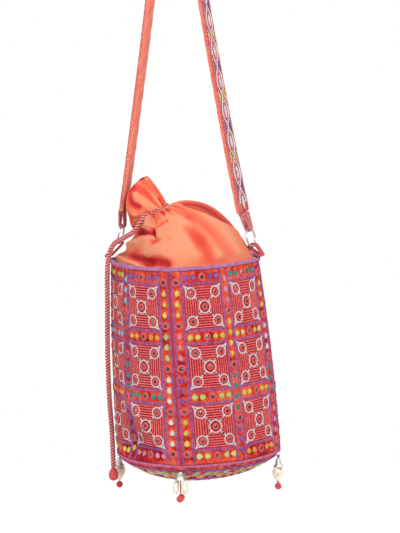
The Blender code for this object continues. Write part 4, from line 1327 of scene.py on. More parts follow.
def lapped(px, py, facing):
    # step down and painted shadow on the upper side of each lapped edge
    high, dark = np.zeros_like(px), np.zeros_like(px)
    for line, step, shade, reach in lappedFolds:
        best, upper = nearLine(px, py, line)
        hit = upper < 0 if step > 0 else upper > 0
        hit = hit * np.clip(best / 0.8, 0, 1) * np.clip(1.6 - best / reach, 0, 1)
        high -= abs(step) * hit * facing
        dark += shade * hit * facing
        high += 1.3 * bump(best, 0, 1.8) * (1 - np.clip(hit * 3, 0, 1)) * facing
    return high, dark


def makeTop(plan):
    columns, rows, dome = plan["around"], plan["rows"], plan["domeRows"]
    s = np.concatenate([np.linspace(0, 1, dome), np.linspace(1, 2, rows - dome + 1)[1:]])
    gw, gs = np.meshgrid(np.arange(columns) * 4.0 / columns, s)
    base, outward = topPoint(gw, gs)
    along = np.roll(base, -1, 1) - np.roll(base, 1, 1)
    normal = unit(np.cross(along, np.gradient(base, axis=0)))
    px, py = toPhoto(base)
    towards = np.clip(normal @ np.array(plan["toCamera"]) * 3.0 + 0.15, 0, 1)
    facing, ruffFacing = (towards * np.clip(sign * (1.02 - gs) / 0.04, 0, 1) for sign in (1, -1))
    step, dark = lapped(px, py, np.clip(facing * 2.2, 0, 1))
    gathers = pleats(gw, gs) * 0.85
    ruffTone = strokeHeight(px, py, ruffFolds, ruffFacing)
    high = gathers + strokeHeight(px, py, photoFolds, facing) * 1.3 + step + ruffTone * 0.35
    # soft lobe that hangs over the rim at the left
    high += 7.0 * bump((90.0 * (gw - 1)) % 360, 192, 34) * bump(gs, 0.17, 0.13)
    high = high * np.clip(gs / 0.08, 0, 1)
    points = base + normal * (high * (1 - 0.35 * bump(gs, 1.0, 0.05)))[..., None] / 1000
    uv = [[(4 * c / columns * 0.17, t * 0.14) for c in range(columns + 1)] for t in s]
    data = sheetMesh("gatheredTop", points[::-1], uv[::-1], True)
    # painted shade on the top: darker in low places, behind lapped folds, in the grooves near the neck, along
    # the ruff's creases and more towards the ruff's lip
    groove = 0.34 * bump(gs, 0.98, 0.20) * (1 - np.clip(gathers / 1.7, 0, 1))
    depth = 0.28 - (high - step * 0.6) * 0.17 + dark + groove - ruffTone * 0.12
    depth += 0.10 * np.clip(gs - 1.2, 0, 1)
    label(data, "hollow", np.clip(depth, 0, 1)[::-1])
    data = thickened(data, plan["thickness"])
    cloth = finished("gatheredTop", data, "bag", "coral_cotton", ["drawstring_top"], 80, looks["coral"])

    # hem stitches round the lip, and the cord drawn round the neck
    hemRows = [int(np.argmin(abs(s - level))) for level in plan["hem"]]
    hem = [(points[row] + normal[row] * 0.0004, True) for row in hemRows]
    stitch = blob("stitch", plan["hemStitch"], 6, 4)
    data = sewn("hemStitches", hem, stitch, plan["hemPitch"], looks["redThread"], 4, 0.1)
    hemPiece = finished("hemStitches", data, "bag", "rose_thread")
    neck = int(np.argmin(abs(s - 1.0)))
    ring = points[neck] + outward[neck] * 0.0016
    line, length = evenLine(np.vstack([ring, ring[:1]]), 160)
    upward = np.array((-math.sin(plan["neckTilt"]), 0, math.cos(plan["neckTilt"])))
    wave = 0.0012 * np.sin(np.linspace(0, 2 * math.pi * 5, 160))[:, None] * upward
    data = ropeMesh("neckCord", (line + wave)[:-1], length, plan["neckCord"], 6)
    neckPiece = finished("neckCord", data, "bag", "rose_thread", look=bpy.data.materials["twistedCord"])


makeTop(top)
print("gathered top")


# base: a rounded quilted square with the same panel at its middle

basePlan = {
    "below": 2 * 0.0019 + 0.0012, "depth": 0.030, "roundness": 3.0, "lift": 0.0007, "thickness": 0.0014,
    "grid": 97, "panel": 0.42,
    # shares of the way from the middle to the edge
    "braids": (0.945, 0.70, 0.44), "chains": (0.83, 0.50), "braidPitch": 0.0022, "chainPitch": 0.0021,
    "seedBands": ((0.885, "green"), (0.765, "yellow"), (0.635, "pink"), (0.56, "purple")),
    "seedPitch": 0.0125, "circlePlace": 0.0165, "circle": 0.0065,
}


def onBase(points):
    # flat square seen from below (x, -y of the bag, outward down) to its place under the bag
    x, y = points[:, 0], -points[:, 1]
    radius = abs(x) + abs(y)
    r = np.clip(radius / bag["baseHalf"], 0, 1)
    side = np.where(y < 0, np.where(x >= 0, 0, 3), np.where(x >= 0, 1, 2))
    found = np.zeros((len(points), 3))
    for k in range(4):
        hit = side == k
        if not hit.any():
            continue
        b = corners[(k + 1) % 4]
        share = abs(x[hit] * b[0] + y[hit] * b[1]) / np.maximum(radius[hit], 1e-9)
        edge = bagMiddle(k, share, np.ones(hit.sum()))
        centre = np.array((bag["rimX"] + bag["lean"], 0, bag["rimZ"] - bag["height"]))
        found[hit] = centre * (1 - r[hit])[:, None] + edge * r[hit][:, None]
        found[hit, 2] -= basePlan["below"] + basePlan["depth"] * (1 - r[hit] ** basePlan["roundness"])
    tip = np.stack([x * 3, y * 3, -np.full(len(x), 0.12)], axis=1)
    tip[:, :2] *= (r**2)[:, None]
    return found + unit(tip) * (points[:, 2] + basePlan["lift"])[:, None]


def squareLine(reach):
    found = []
    for k in range(4):
        p, q = corners[k] * reach, corners[(k + 1) % 4] * reach
        found += [tuple(p * (1 - f) + q * f) for f in np.linspace(0, 1, 30)[:-1]]
    return found


def makeBase(plan):
    n, size, pieces = plan["grid"], bag["baseHalf"], []
    # a square grid turned by 45 degrees, so that its sides follow the bag's
    a, b = np.meshgrid(np.linspace(-1, 1, n), np.linspace(-1, 1, n))
    x, y, ring = (a - b) * size / 2, (a + b) * size / 2, np.maximum(abs(a), abs(b))
    soft = 0.0007 * np.sin(a * 31 + 2 * np.sin(b * 9)) * np.sin(b * 29) * (ring > plan["panel"])
    soft += 0.0010 * np.clip(1 - (ring / plan["panel"]) ** 2, 0, 1)
    points = onBase(np.stack([x, y, soft * (ring < 0.985)], axis=-1).reshape(-1, 3)).reshape(n, n, 3)
    data = sheetMesh("base", points[::-1], np.stack([x, y], axis=-1)[::-1].tolist())
    label(data, "zone", (ring < plan["panel"])[::-1] * 1.0)
    # painted shade: darker where the padding sinks
    label(data, "hollow", np.clip(0.5 - soft * 500, 0, 1)[::-1])
    data = thickened(data, plan["thickness"])
    cloth = finished("baseCloth", data, "bag", "embroidered_cotton", ["base_panel"], 60, looks["quilt"])
    sewOn = sewer(onBase, "bag", "_base", pieces)
    lines = [(squareLine(size * f), True) for f in plan["braids"]]
    data = sewn("braid", lines, veeMesh(1.1), plan["braidPitch"], looks["purple"], 8)
    sewOn("braid", data, "lilac_braid", 0.0006)
    far, r = plan["circlePlace"], plan["circle"]
    spots = [(0.0, 0.0), (-far, 0.0), (far, 0.0), (0.0, -far), (0.0, far)]
    chains = [([(x + r * math.cos(t), y + r * math.sin(t)) for t in fullTurn(36)], True) for x, y in spots]
    chains += [(squareLine(size * f), True) for f in plan["chains"]]
    data = sewn("chain", chains, linkMesh(), plan["chainPitch"], looks["white"], 9)
    sewOn("chain", data, "rose_thread", 0.0008)
    rng = np.random.default_rng(77)
    seeds, mirrors = [], []
    for band, name in plan["seedBands"]:
        line = squareLine(size * band)
        count = int(size * band * 4 * math.sqrt(2) / plan["seedPitch"])
        for k in range(count):
            place = int(k / count * len(line))
            p, q = line[place % len(line)], line[(place + 1) % len(line)]
            angle = math.degrees(math.atan2(q[1] - p[1], q[0] - p[0]))
            colour = varied(rng, embroidery["palette"][name], 0.8, 1.1)
            if k % 5 == 2:
                mirrors.append((*p, 0.0003, 0, (1.2, 1.2, 1), (1, 1, 1)))
            else:
                seeds.append((*p, 0.0004, angle, (0.95, 0.8, 1), colour))
    mirrors += [(x, y, 0.0003, 0, (1, 1, 1), (1, 1, 1)) for x, y in spots]
    sewOn("seeds", placed("seeds", seeds, seedMesh(*embroidery["lowSeed"]), looks["dyed"]), "rose_thread")
    sewOn("mirrors", placed("mirrors", mirrors, mirrorMesh(0.0024), looks["mirror"]), "silver_metal", 0.0002)
    data = placed("rings", mirrors, ringMesh(0.0030, 0.0008), looks["redThread"])
    sewOn("mirrorRings", data, "rose_thread", 0.0004)


makeBase(basePlan)
print("base")


# strap: two layers from the left end over the hook to the right end

strap = {
    "drop": 0.510, "width": 0.042, "face": 0.0030, "lining": 0.0022, "bend": 0.012,
    "inLeft": 0.0135, "inRight": 0.0175, "twist": (-4.0, 6.0),
    "leftBow": [(1.0, 1.0), (0.804, 0.81), (0.464, 0.459), (0.268, 0.1765)],
    "rightBow": [(1.0, 1.0), (0.794, 0.81), (0.454, 0.459), (0.232, 0.1765)],
    "samples": 900, "pitch": 0.041, "rows": 520,
    "faceSkin": 0.0026, "liningSkin": 0.0019, "liningIn": -0.0039,
    "chain": {"reach": (0.0138, 0.0112), "step": 0.0015, "pitch": 0.0023, "size": 1.12},
    "border": {"reach": 0.0172, "pitch": 0.0025, "size": 1.25},
    "scallops": {"reach": 0.0201, "pitch": 0.0034, "size": (0.0030, 0.0026, 0.0026), "wave": 0.0068},
    "satin": {"from": 0.0158, "in": 0.0050, "pitch": 0.0017, "end": 0.0075, "tint": (1.0, 0.72, 0.22)},
}


def strapEnd(side, out=1.0, down=1.0):
    inward = strap["inRight"] if side > 0 else strap["inLeft"]
    return np.array(((bag["rimX"] + side * (bag["rimHalf"] - inward)) * out, 0, -strap["drop"] * down))


def strapFrames():
    radius = strap["bend"] + (strap["lining"] + strap["face"]) / 2
    angles = np.radians(np.linspace(180, 0, 181))
    arc = np.stack([np.cos(angles) * radius, np.zeros(181), np.sin(angles) * radius - strap["bend"]], axis=1)
    left = catmull([strapEnd(-1, a, b) for a, b in strap["leftBow"]] + [arc[0]], 90)
    right = catmull([arc[-1]] + [strapEnd(1, a, b) for a, b in reversed(strap["rightBow"])], 90)
    line, length = evenLine(np.concatenate([left, arc[1:-1], right]), strap["samples"])
    ahead = unit(np.gradient(line, axis=0))
    share = np.linspace(0, 1, len(line))
    turn = np.clip(1 - 2 * share, 0, 1) * strap["twist"][0] + np.clip(2 * share - 1, 0, 1) * strap["twist"][1]
    angle = -np.radians(turn)
    across = np.stack([-np.sin(angle), np.cos(angle), np.zeros(len(line))], axis=1)
    outward = unit(np.cross(ahead, across))
    wrong = np.sum(outward * (line - np.array((0.01, 0, -0.2))), axis=1) < 0
    outward[wrong] *= -1
    return line, ahead, across, outward, length


strapLine, strapAhead, strapAcross, strapOutward, strapLength = strapFrames()


def onStrap(points, offset=0.0012):
    # flat strip (x across, -y from the left end, out) to its place on the strap
    place = np.clip(-points[:, 1] / strapLength, 0, 1) * (strap["samples"] - 1)
    k = np.clip(np.floor(place).astype(int), 0, strap["samples"] - 2)
    f = (place - k)[:, None]

    def at(values):
        return values[k] * (1 - f) + values[k + 1] * f

    return at(strapLine) + at(strapAcross) * points[:, 0:1] + at(strapOutward) * (points[:, 2:3] + offset)


def strapFaceLook():
    look = Finish("strapFace", {"Specular IOR Level": 0.22})
    across, cloud = look.attribute("across"), look.noise(110.0, 3.0)
    pucker = look.noise(420.0, 3.0, look.map)
    # painted shade: the middle darkens in the pucker noise's hollows, besides random clouding
    middle = look.ramp(cloud + (pucker - 0.5) * 0.7,
        [(0.2, (0.70, 0.05, 0.07)), (0.5, (0.94, 0.19, 0.16)), (0.8, (1.0, 0.38, 0.30))])
    side = look.ramp(cloud, [(0.3, (0.92, 0.20, 0.13)), (0.7, (1.0, 0.34, 0.25))])
    ground = look.mix(across, middle, side)
    satin = look.bands(420.0, look.map, "Y", 1.2)
    return look.surface(ground, 0.75 + pucker * 0.15, pucker + satin * 0.8, 0.0008)


def strapGrid(across, lift):
    # flat strip over the strap's whole length: x, y, height and the sheet's texture places
    gx, gy = np.meshgrid(across, np.linspace(0, strapLength, strap["rows"]))
    return gx, gy, lift(gx, gy), np.stack([gx, gy], axis=-1)


def strapCloths(plan):
    def puckered(gx, gy):
        wave = 0.00035 * np.sin(gy * 900 + 3 * np.sin(gx * 200)) * np.sin(gx * 520)
        return wave + 0.0005 * np.cos(gx / plan["width"] * 2 * math.pi) - 0.0003

    gx, gy, wave, uv = strapGrid(np.linspace(-0.5, 0.5, 21) * plan["width"], puckered)
    share = abs(gx) / (plan["width"] / 2)
    scallop = 0.0010 * np.sin(gy * 2 * math.pi / plan["scallops"]["wave"])
    scallop *= np.clip((share - 0.8) / 0.2, 0, 1)
    flat = np.stack([gx + scallop * np.sign(gx), -gy, wave], axis=-1)
    data = sheetMesh("strapFace", onStrap(flat.reshape(-1, 3)).reshape(flat.shape), uv.tolist())
    label(data, "across", np.clip((share - 0.80) / 0.06, 0, 1))
    data = thickened(data, plan["faceSkin"])
    face = finished("strapFaceCloth", data, "strap", "embroidered_strap", ["strap_face"], 50, strapFaceLook())
    gx, gy, wave, uv = strapGrid(np.linspace(-0.48, 0.48, 9) * plan["width"],
                                 lambda gx, gy: 0.0002 * np.sin(gy * 260 + gx * 90))
    flat = np.stack([gx, -gy, wave], axis=-1)
    points = onStrap(flat.reshape(-1, 3), plan["liningIn"]).reshape(flat.shape)
    data = sheetMesh("strapBack", points[:, ::-1], uv[:, ::-1].tolist())
    # painted shade that changes with the lining's small waves
    label(data, "hollow", 0.25 + wave * 500)
    data = thickened(data, plan["liningSkin"])
    look = looks["strapLining"]
    return face, finished("strapLiningCloth", data, "strap", "coral_cotton", ["strap_lining"], 50, look)


def strapMarks(plan, start, count):
    # mirror lenses at whole pitches; satin fills and pink seeds half way between, where the chains cross
    rng = np.random.default_rng(5)
    seeds, mirrors, satin, palette = [], [], plan["satin"], embroidery["palette"]
    for k in range(count + 1):
        crossing = start + k * plan["pitch"]
        mirrors.append((0.0, -crossing, 0.0004, 90, (3.0, 1.7, 1.2), (1, 1, 1)))
        if k == count:
            continue
        middle, tint = crossing + plan["pitch"] / 2, satin["tint"] if k % 2 else palette["purple"]
        for sign in (-1, 1):
            for j in range(-4, 5):
                long = 1.0 - abs(j) / 5.5
                x, y = sign * (satin["from"] - satin["in"] * long), -(middle + j * satin["pitch"])
                seeds.append((x, y, 0.0004, 0, (long, 0.24, 0.7), varied(rng, tint, 0.85, 1.1)))
        for j in (-1, 1):
            y = -(middle + j * satin["end"])
            seeds.append((0.0, y, 0.0004, 90 * j, (0.72, 0.9, 0.9), palette["pink"]))
    return seeds, mirrors


def makeStrap(plan):
    face, lining = strapCloths(plan)
    pieces, chain = [], plan["chain"]
    sewOn = sewer(onStrap, "strap", "_strap", pieces)
    count = int(strapLength / plan["pitch"])
    start = (strapLength - count * plan["pitch"]) / 2
    run = np.arange(start, start + count * plan["pitch"] + 1e-6, chain["step"])
    lines = [([(sign * reach * math.cos((d - start) / plan["pitch"] * math.pi), -d) for d in run], False)
             for sign in (-1, 1) for reach in chain["reach"]]
    data = sewn("chain", lines, linkMesh(chain["size"]), chain["pitch"], looks["white"], 21)
    sewOn("chain", data, "rose_thread", 0.0008)
    edges = [("border", linkMesh(plan["border"]["size"]), looks["palePink"], 22, 0.12, 0.0006),
             ("scallops", blob("scallop", plan["scallops"]["size"], 6, 4), looks["pink"], 23, 0.1, -0.0004)]
    for key, stitch, look, seed, wobble, lift in edges:
        down = np.arange(0.002, strapLength - 0.002, 0.003)
        lines = [([(sign * plan[key]["reach"], -d) for d in down], False) for sign in (-1, 1)]
        data = sewn(key, lines, stitch, plan[key]["pitch"], look, seed, wobble)
        sewOn(key, data, "rose_thread", lift)
    seeds, mirrors = strapMarks(plan, start, count)
    sewOn("satin", placed("satin", seeds, seedMesh(*embroidery["lowSeed"]), looks["dyed"]), "rose_thread")
    data = placed("mirrors", mirrors, mirrorMesh(0.0030), looks["brightMirror"])
    sewOn("mirrors", data, "silver_metal", 0.0003)
    rings = [(*mark[:4], (3.0, 1.75, 1.1), mark[5]) for mark in mirrors]
    data = placed("rings", rings, ringMesh(0.0034, 0.0006, 60, 5), looks["pink"])
    sewOn("mirrorRings", data, "rose_thread", 0.0004)


makeStrap(strap)
print("strap", round(strapLength, 4))


# rings and wrapped thread loops

links = {
    "upper": 0.0335, "ring": (0.0128, 0.0012), "out": {"left": 0.0025, "right": 0.0095},
    "lean": {"left": 10.0, "right": -13.0}, "turn": {"left": 2.0, "right": 14.0},
    "thread": 0.0014, "count": 3, "spread": 0.0034, "spreadStrap": 0.0115, "spreadBag": 0.0062,
    "slack": 0.0009, "leg": 0.12, "foot": 0.0012, "whip": (0.0076, 0.0032), "whipOut": 0.0060, "swing": 30.0,
}


def ringFrame(side):
    lean, turn = math.radians(links["lean"][side]), math.radians(links["turn"][side])
    sign = 1 if side == "right" else -1
    x = strapEnd(sign)[0] + sign * links["out"][side]
    upward = np.array((math.sin(lean), 0, math.cos(lean)))
    flat, level = np.array((math.cos(lean), 0, -math.sin(lean))), np.array((0.0, 1.0, 0.0))
    normal = flat * math.cos(turn) - level * math.sin(turn)
    along = flat * math.sin(turn) + level * math.cos(turn)
    return np.array((x, 0, -strap["drop"] - links["upper"])), normal, along, upward


def helixRound(line, radius, perTurn=9, pitch=0.00085):
    # a thin thread wound round a line
    fine, _ = evenLine(line, max(12, int(lengthOf(line) / pitch * perTurn)))
    ahead = unit(np.gradient(fine, axis=0))
    side = unit(np.cross(ahead, (0.31, 0.17, 0.05)))
    other = np.cross(ahead, side)
    angle = np.arange(len(fine)) * 2 * math.pi / perTurn
    return fine + (side * np.cos(angle)[:, None] + other * np.sin(angle)[:, None]) * radius


def loopLine(spot, inside, far, spread, halfGap, wireGap):
    crest, legs = spot + inside * wireGap, far - spot
    bend = []
    for k in range(1, 8):
        angle = math.pi * k / 8
        bend.append(spot + spread * (halfGap * math.cos(angle)) + (crest - spot) * math.sin(angle))
    gap = spread * (links["thread"] + links["foot"])
    near = [spot + spread * halfGap + legs * links["leg"], spot - spread * halfGap + legs * links["leg"]]
    return [far + gap, near[0], *bend, near[1], far - gap]


def makeLoops(side, upper, frame):
    centre, normal, along, upward = frame
    if upper:
        at = 0 if side == "left" else -1
        up = np.cross(strapOutward[at], strapAcross[at])
        up = up if up[2] > 0 else -up
        anchor = strapLine[at] - unit(up) * (links["whip"][1] / 2 + 0.0006)
        axes, far, room = (strapOutward[at], strapAcross[at], up), links["spreadStrap"], 0.0
    else:
        k = 1 if side == "right" else 3
        corner = bagMiddle(k, np.zeros(1), np.zeros(1))[0] + np.array((*corners[k], 0)) * links["whipOut"]
        anchor = corner + np.array((0, 0, 2 * 0.0026 + 0.0012 + links["whip"][1] / 2))
        axes, far = (np.array((1.0, 0, 0)), np.array((0, 1.0, 0)), np.array((0, 0, 1.0))), links["spreadBag"]
        first = links["spread"] / links["ring"][0]
        last = first + math.radians(links["swing"])
        swept = abs(normal[1]) * (math.sin(last) - math.sin(first))
        room = links["ring"][0] * (swept + abs(normal[2]) * (math.cos(first) - math.cos(last)))
    wire = links["ring"][1] + links["thread"] + links["slack"]
    sign, parts = (1 if upper else -1), []
    for k in range(links["count"]):
        offset = k - 1
        angle = offset * links["spread"] / links["ring"][0]
        radial = along * math.sin(angle) + upward * (sign * math.cos(angle))
        spot = centre + radial * links["ring"][0]
        end = anchor + axes[1] * (offset * far)
        line = catmull(loopLine(spot, -radial, end, normal, wire + room, wire), 6)
        parts.append(tubeMesh("core", line, links["thread"] * 0.80, 8))
        wound = helixRound(line, links["thread"] * 0.74)
        parts.append(tubeMesh("wound", wound, 0.00045, 5))
    # wound bar that binds the sewn ends
    long = (links["count"] - 1) * far + 4 * links["thread"]
    wide, thick = links["whip"][0] / 2, links["whip"][1] / 2
    coil, turns = [], int(long / 0.00125)
    for k in range(turns * 20 + 1):
        a = 2 * math.pi * k / 20
        c, s = math.cos(a), math.sin(a)
        u = math.copysign(abs(c) ** 0.55, c) * (wide - 0.0006)
        v = math.copysign(abs(s) ** 0.7, s) * (thick - 0.0005)
        w = (k / (turns * 20) - 0.5) * (long - 0.0014)
        coil.append(anchor + axes[0] * u + axes[2] * v + axes[1] * w)
    parts.append(tubeMesh("coil", coil, 0.00066, 5))
    slab = blob("slab", (long * 1.12, 1.9 * wide, 1.9 * thick), 12, 10)
    turn = Matrix((tuple(axes[1]), tuple(axes[0]), tuple(-axes[2]))).transposed().to_4x4()
    slab.transform(Matrix.Translation(tuple(anchor)) @ turn)
    data = merged("loops", [(part, Matrix.Identity(4)) for part in [*parts, slab]])
    body, look = ("strap", looks["palePink"]) if upper else ("bag", looks["pink"])
    node = "%s_loops_%s" % (body, side)
    finished("threadLoops_%s_%s" % (body, side), data, body, "rose_thread", [node], look=look)


def makeRing(side, frame):
    centre, _, along, upward = frame
    turn = fullTurn(96)
    radius, wire = links["ring"]
    line = centre + (along * np.cos(turn)[:, None] + upward * np.sin(turn)[:, None]) * radius
    thick = wire * (1 + 0.03 * np.sin(turn * 7) + 0.02 * np.sin(turn * 17 + 1))
    data = tubeMesh("ring", line, wire, 14, True, thick)
    finished("metalRing_" + side, data, "ring_" + side, "silver_metal", ["ring_" + side], look=looks["metal"])


for side in ("left", "right"):
    frameHere = ringFrame(side)
    makeRing(side, frameHere)
    makeLoops(side, True, frameHere)
    makeLoops(side, False, frameHere)
print("rings and loops")


# cowrie tassels at the four lower corners

tassel = {
    "large": (0.0050, 0.0112, 0.0080), "small": (0.0050, 0.0062, 0.0052),
    "bell": [(0.0016, 0.0), (0.0030, 0.0018), (0.0036, 0.0050), (0.0046, 0.0085), (0.0061, 0.0115)],
    "turned": {"wall": 0.0008, "around": 40, "ribs": 10, "rib": 0.045, "ribFrom": -0.003,
               "hoops": [(0.0031, -0.0034), (0.0041, -0.0066)]},
    "crown": 0.0024, "strand": 0.0010, "cowrie": (0.0125, 0.0085, 0.0195), "ball": 0.0046, "wrap": 0.0022,
    "corner": {
        "front": (0, True, 0.0332, [("a", 1, 0.0215, 24), ("b", -1, 0.0215, -18)]),
        "right": (1, False, 0.0285, [("a", 1, 0.0210, 20), ("b", -1, 0.0225, -10)]),
        "back": (2, True, 0.0285, [("a", 1, 0.0215, 14), ("b", -1, 0.0215, -14)]),
        "left": (3, False, 0.0285, [("a", 1, 0.0220, 16), ("b", -1, 0.0218, -12)])},
}


def cowrieMesh():
    # shell with a toothed slit down the flat face, turned to the outside
    wide, thick, tall = tassel["cowrie"]
    holder = bmesh.new()
    bmesh.ops.create_uvsphere(holder, u_segments=40, v_segments=34, radius=0.5)
    slits = []
    for vert in holder.verts:
        x, y, z = vert.co * 2
        # egg outline, wider towards the top
        wider = 1.0 + 0.12 * z - 0.10 * z * z
        face = max(0.0, x)
        # flattened front with a groove along it
        groove = math.exp(-((y / 0.13) ** 2)) * max(0.0, 1 - (z / 0.86) ** 4) * (1 if x > 0 else 0)
        teeth = 0.5 + 0.5 * math.sin(z * 46)
        lips = math.exp(-((abs(y) - 0.24) / 0.10) ** 2) * (1 if x > 0 else 0) * max(0.0, 1 - (z / 0.9) ** 4)
        out = x * (1 - 0.16 * face) - 0.42 * groove * (0.85 + 0.3 * teeth) + 0.05 * lips * (0.4 + teeth)
        vert.co = Vector((out * thick / 2 * 1.02, y * wide / 2 * wider, z * tall / 2))
        # slit: painted shade, strongest in the groove and between the teeth
        slits.append(groove * (0.65 + 0.5 * (1 - teeth)))
    data = bpy.data.meshes.new("cowrie")
    holder.to_mesh(data)
    holder.free()
    label(data, "slit", np.clip(slits, 0, 1))
    return data


def woundBall(radius, turns=13):
    line = []
    for k in range(turns * 18 + 1):
        share = k / (turns * 18)
        a = share * turns * 2 * math.pi
        z = math.cos(math.pi * share)
        r = math.sqrt(max(0.0, 1 - z * z)) * (radius - 0.0005)
        line.append((r * math.cos(a), r * math.sin(a), z * (radius - 0.0005)))
    coil = tubeMesh("coil", line, 0.00055, 5)
    core = blob("core", (radius * 1.86,) * 3, 12, 8)
    return merged("ball", [(coil, Matrix.Rotation(0.5, 4, "X")), (core, Matrix.Identity(4))])


def bellMesh():
    # turned cap with ribs and a beaded brim
    plan = tassel["turned"]
    outer = catmull([(r, 0, -d) for r, d in [(0.0, 0.0), *tassel["bell"]]], 6)[:, [0, 2]]
    outer[:, 1] = np.minimum(outer[:, 1], 0.0)
    inner = [(max(r - plan["wall"], 0.0001), z) for r, z in outer[::-1] if z < -tassel["crown"]]
    inner.append((0.0, -tassel["crown"]))
    turn, rings = fullTurn(plan["around"]), []
    for index, (r, z) in enumerate(list(map(tuple, outer)) + inner):
        rib = plan["rib"] if index < len(outer) and z < plan["ribFrom"] else 0.0
        swell = r * (1 + rib * np.cos(plan["ribs"] * turn))
        ring = np.stack([swell * np.cos(turn), swell * np.sin(turn), np.full(len(turn), z)], axis=1)
        rings.append([(0, 0, z)] if r < 0.00012 else ring.tolist())
    bead = blob("bead", (0.0013,) * 3, 8, 6)
    brim, low = tassel["bell"][-1]
    parts = [(latheMesh("bell", rings), Matrix.Identity(4))]
    for a in fullTurn(20):
        parts.append((bead, Matrix.Translation((brim * math.cos(a), brim * math.sin(a), -low + 0.0002))))
    for r, z in plan["hoops"]:
        turn = fullTurn(28)
        line = np.stack([np.cos(turn) * r, np.sin(turn) * r, np.full(28, z)], axis=1)
        parts.append((tubeMesh("hoop", line, 0.00042, 6, True), Matrix.Identity(4)))
    return merged("bell", parts)


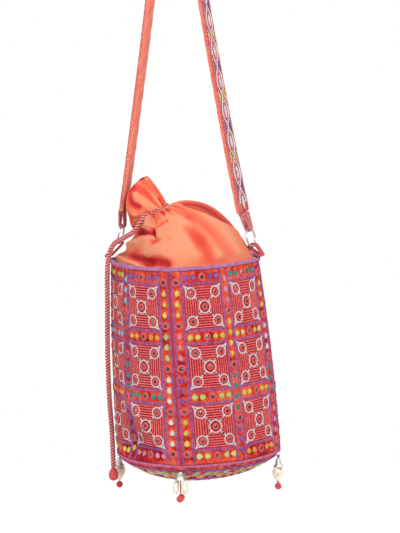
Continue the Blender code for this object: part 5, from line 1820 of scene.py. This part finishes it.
def makeTassel(name, spec):
    k, beside, strand, cowries = spec
    body = "tassel_" + name
    out = np.array((*corners[k], 0.0))
    corner = bagMiddle(k, np.zeros(1), np.ones(1))[0]
    size = tassel["large"] if beside else tassel["small"]
    if beside:
        centre = corner + out * (0.0030 + size[0] / 2 - 0.0006) - np.array((0, 0, size[2] / 2 - 0.0007))
    else:
        centre = corner - np.array((0, 0, 2 * 0.0019 + 0.0018 + 0.0027 + size[2] / 2))
    facing = Matrix.Rotation(math.atan2(out[1], out[0]), 4, "Z")
    place = Matrix.Translation(tuple(centre)) @ facing
    # knot: two crossed loops of thick thread and their binding
    parts = [(blob("core", (size[0] * 0.8, size[1] * 0.62, size[2] * 0.8), 14, 10), place)]
    for sign in (-1, 1):
        turn = fullTurn(40)
        loop = np.stack([0.0004 * sign + np.sin(turn * 2) * size[0] * 0.12,
                         sign * size[1] * 0.21 + np.cos(turn) * size[1] * 0.16,
                         np.sin(turn) * size[2] * 0.29 + size[2] * 0.07], axis=1)
        parts.append((tubeMesh("loop", loop, size[2] * 0.12, 8, True), place))
    for level in (-0.06, 0.10):
        turn = fullTurn(30)
        band = np.stack([np.cos(turn) * size[0] * 0.38, np.sin(turn) * size[1] * 0.17,
                         np.full(30, level * size[2])], axis=1)
        parts.append((tubeMesh("band", band, size[2] * 0.06, 6, True), place))
    data = merged("knot", parts)
    look = looks["pink"] if beside else looks["purple"]
    finished("cornerKnot_" + name, data, "bag", "rose_thread", [body + "_knot"], look=look)
    crown = centre - np.array((0, 0, size[2] / 2 + 0.0003))
    data = bellMesh()
    data.transform(Matrix.Translation(tuple(crown)))
    finished("bellCap_" + name, data, body, "silver_metal", [body + "_cap"], 50, looks["metal"])
    # plied strand under the cap
    line = np.tile(crown, (30, 1))
    line[:, 2] -= np.linspace(tassel["crown"] + 0.0003, strand, 30)
    core = tubeMesh("core", line, 0.0007, 8)
    ply = tubeMesh("ply", helixRound(line, 0.00062, 10, 0.0019), 0.00042, 6)
    data = merged("strand", [(core, Matrix.Identity(4)), (ply, Matrix.Identity(4))])
    finished("strand_" + name, data, body, "rose_thread", [body + "_thread"], look=looks["redThread"])
    side = np.cross(out, (0, 0, 1.0))
    for letter, sense, under, lean in cowries:
        gap = tassel["strand"] + tassel["cowrie"][1] / 2 + 0.0006
        at = crown - np.array((0, 0, under)) + side * (sense * gap)
        leaned = Matrix.Rotation(math.radians(lean), 4, Vector(side))
        base = leaned @ Matrix.Rotation(math.atan2(out[1], out[0]), 4, "Z")
        data = cowrieMesh()
        # CAD shells are wide along the corner's direction; the slit looks sideways
        spin = Matrix.Rotation(math.radians(90 * sense), 4, "Z")
        data.transform(Matrix.Translation(tuple(at)) @ base @ spin)
        node = "%s_cowrie_%s" % (body, letter)
        finished("cowrie_%s_%s" % (name, letter), data, body, "cowrie_shell", [node], look=looks["shell"])
    wrap = 0.0285 + 0.0003 + tassel["wrap"]
    level, apart = wrap + tassel["ball"] + 0.0006, tassel["ball"] + 0.0003
    low = wrap + tassel["wrap"] + tassel["ball"] + 0.0003
    if name == "front":
        balls = [("a", -apart, level, tassel["ball"]), ("b", apart, level, tassel["ball"])]
    else:
        balls = [("a", 0.0, wrap, tassel["wrap"]), ("b", 0.0, low, tassel["ball"])]
    for letter, aside, under, radius in balls:
        data = woundBall(radius, 13 if radius > 0.004 else 7)
        data.transform(Matrix.Translation(tuple(crown + out * aside - np.array((0, 0, under)))))
        node = "%s_ball_%s" % (body, letter)
        finished("clothBall_%s_%s" % (name, letter), data, body, "red_cloth_ball", [node], look=looks["rose"])


for name, spec in tassel["corner"].items():
    makeTassel(name, spec)
print("tassels")


# light, floor and view, once every piece stands

def makeStudio(want):
    holder = bmesh.new()
    bmesh.ops.create_circle(holder, cap_ends=True, segments=64, radius=want["floorRadius"])
    data = bpy.data.meshes.new("floor")
    holder.to_mesh(data)
    holder.free()
    floor = loose("floor", data)
    floor.location = (0, 0, want["floorLevel"])
    look = Finish("paleFloor", {"Roughness": 0.9})
    cloud = look.noise(2.0, 2.0)
    pale = look.ramp(cloud, [(0.3, (0.90, 0.90, 0.90)), (0.7, (0.94, 0.94, 0.94))])
    feed(look.tree, look.shader.inputs["Emission Color"], pale)
    look.shader.inputs["Emission Strength"].default_value = want["floorGlow"]
    data.materials.append(look.surface(pale))
    world = bpy.data.worlds.new("studio")
    world.use_nodes = True
    shade = world.node_tree.nodes["Background"]
    shade.inputs["Color"].default_value = (1.0, 1.0, 1.0, 1.0)
    tools = Bench(world.node_tree)
    seen = tools.add("ShaderNodeLightPath", None, None, "Is Camera Ray")
    feed(world.node_tree, shade.inputs["Strength"], seen * (1.0 - want["sky"]) + want["sky"])
    bpy.context.scene.world = world
    key, fill = (areaLight(name, place, want["aim"], size, power)
                 for name, (place, size, power) in want["lamps"].items())
    bpy.context.scene.view_settings.view_transform = "Standard"


makeStudio(studio)
print("studio")
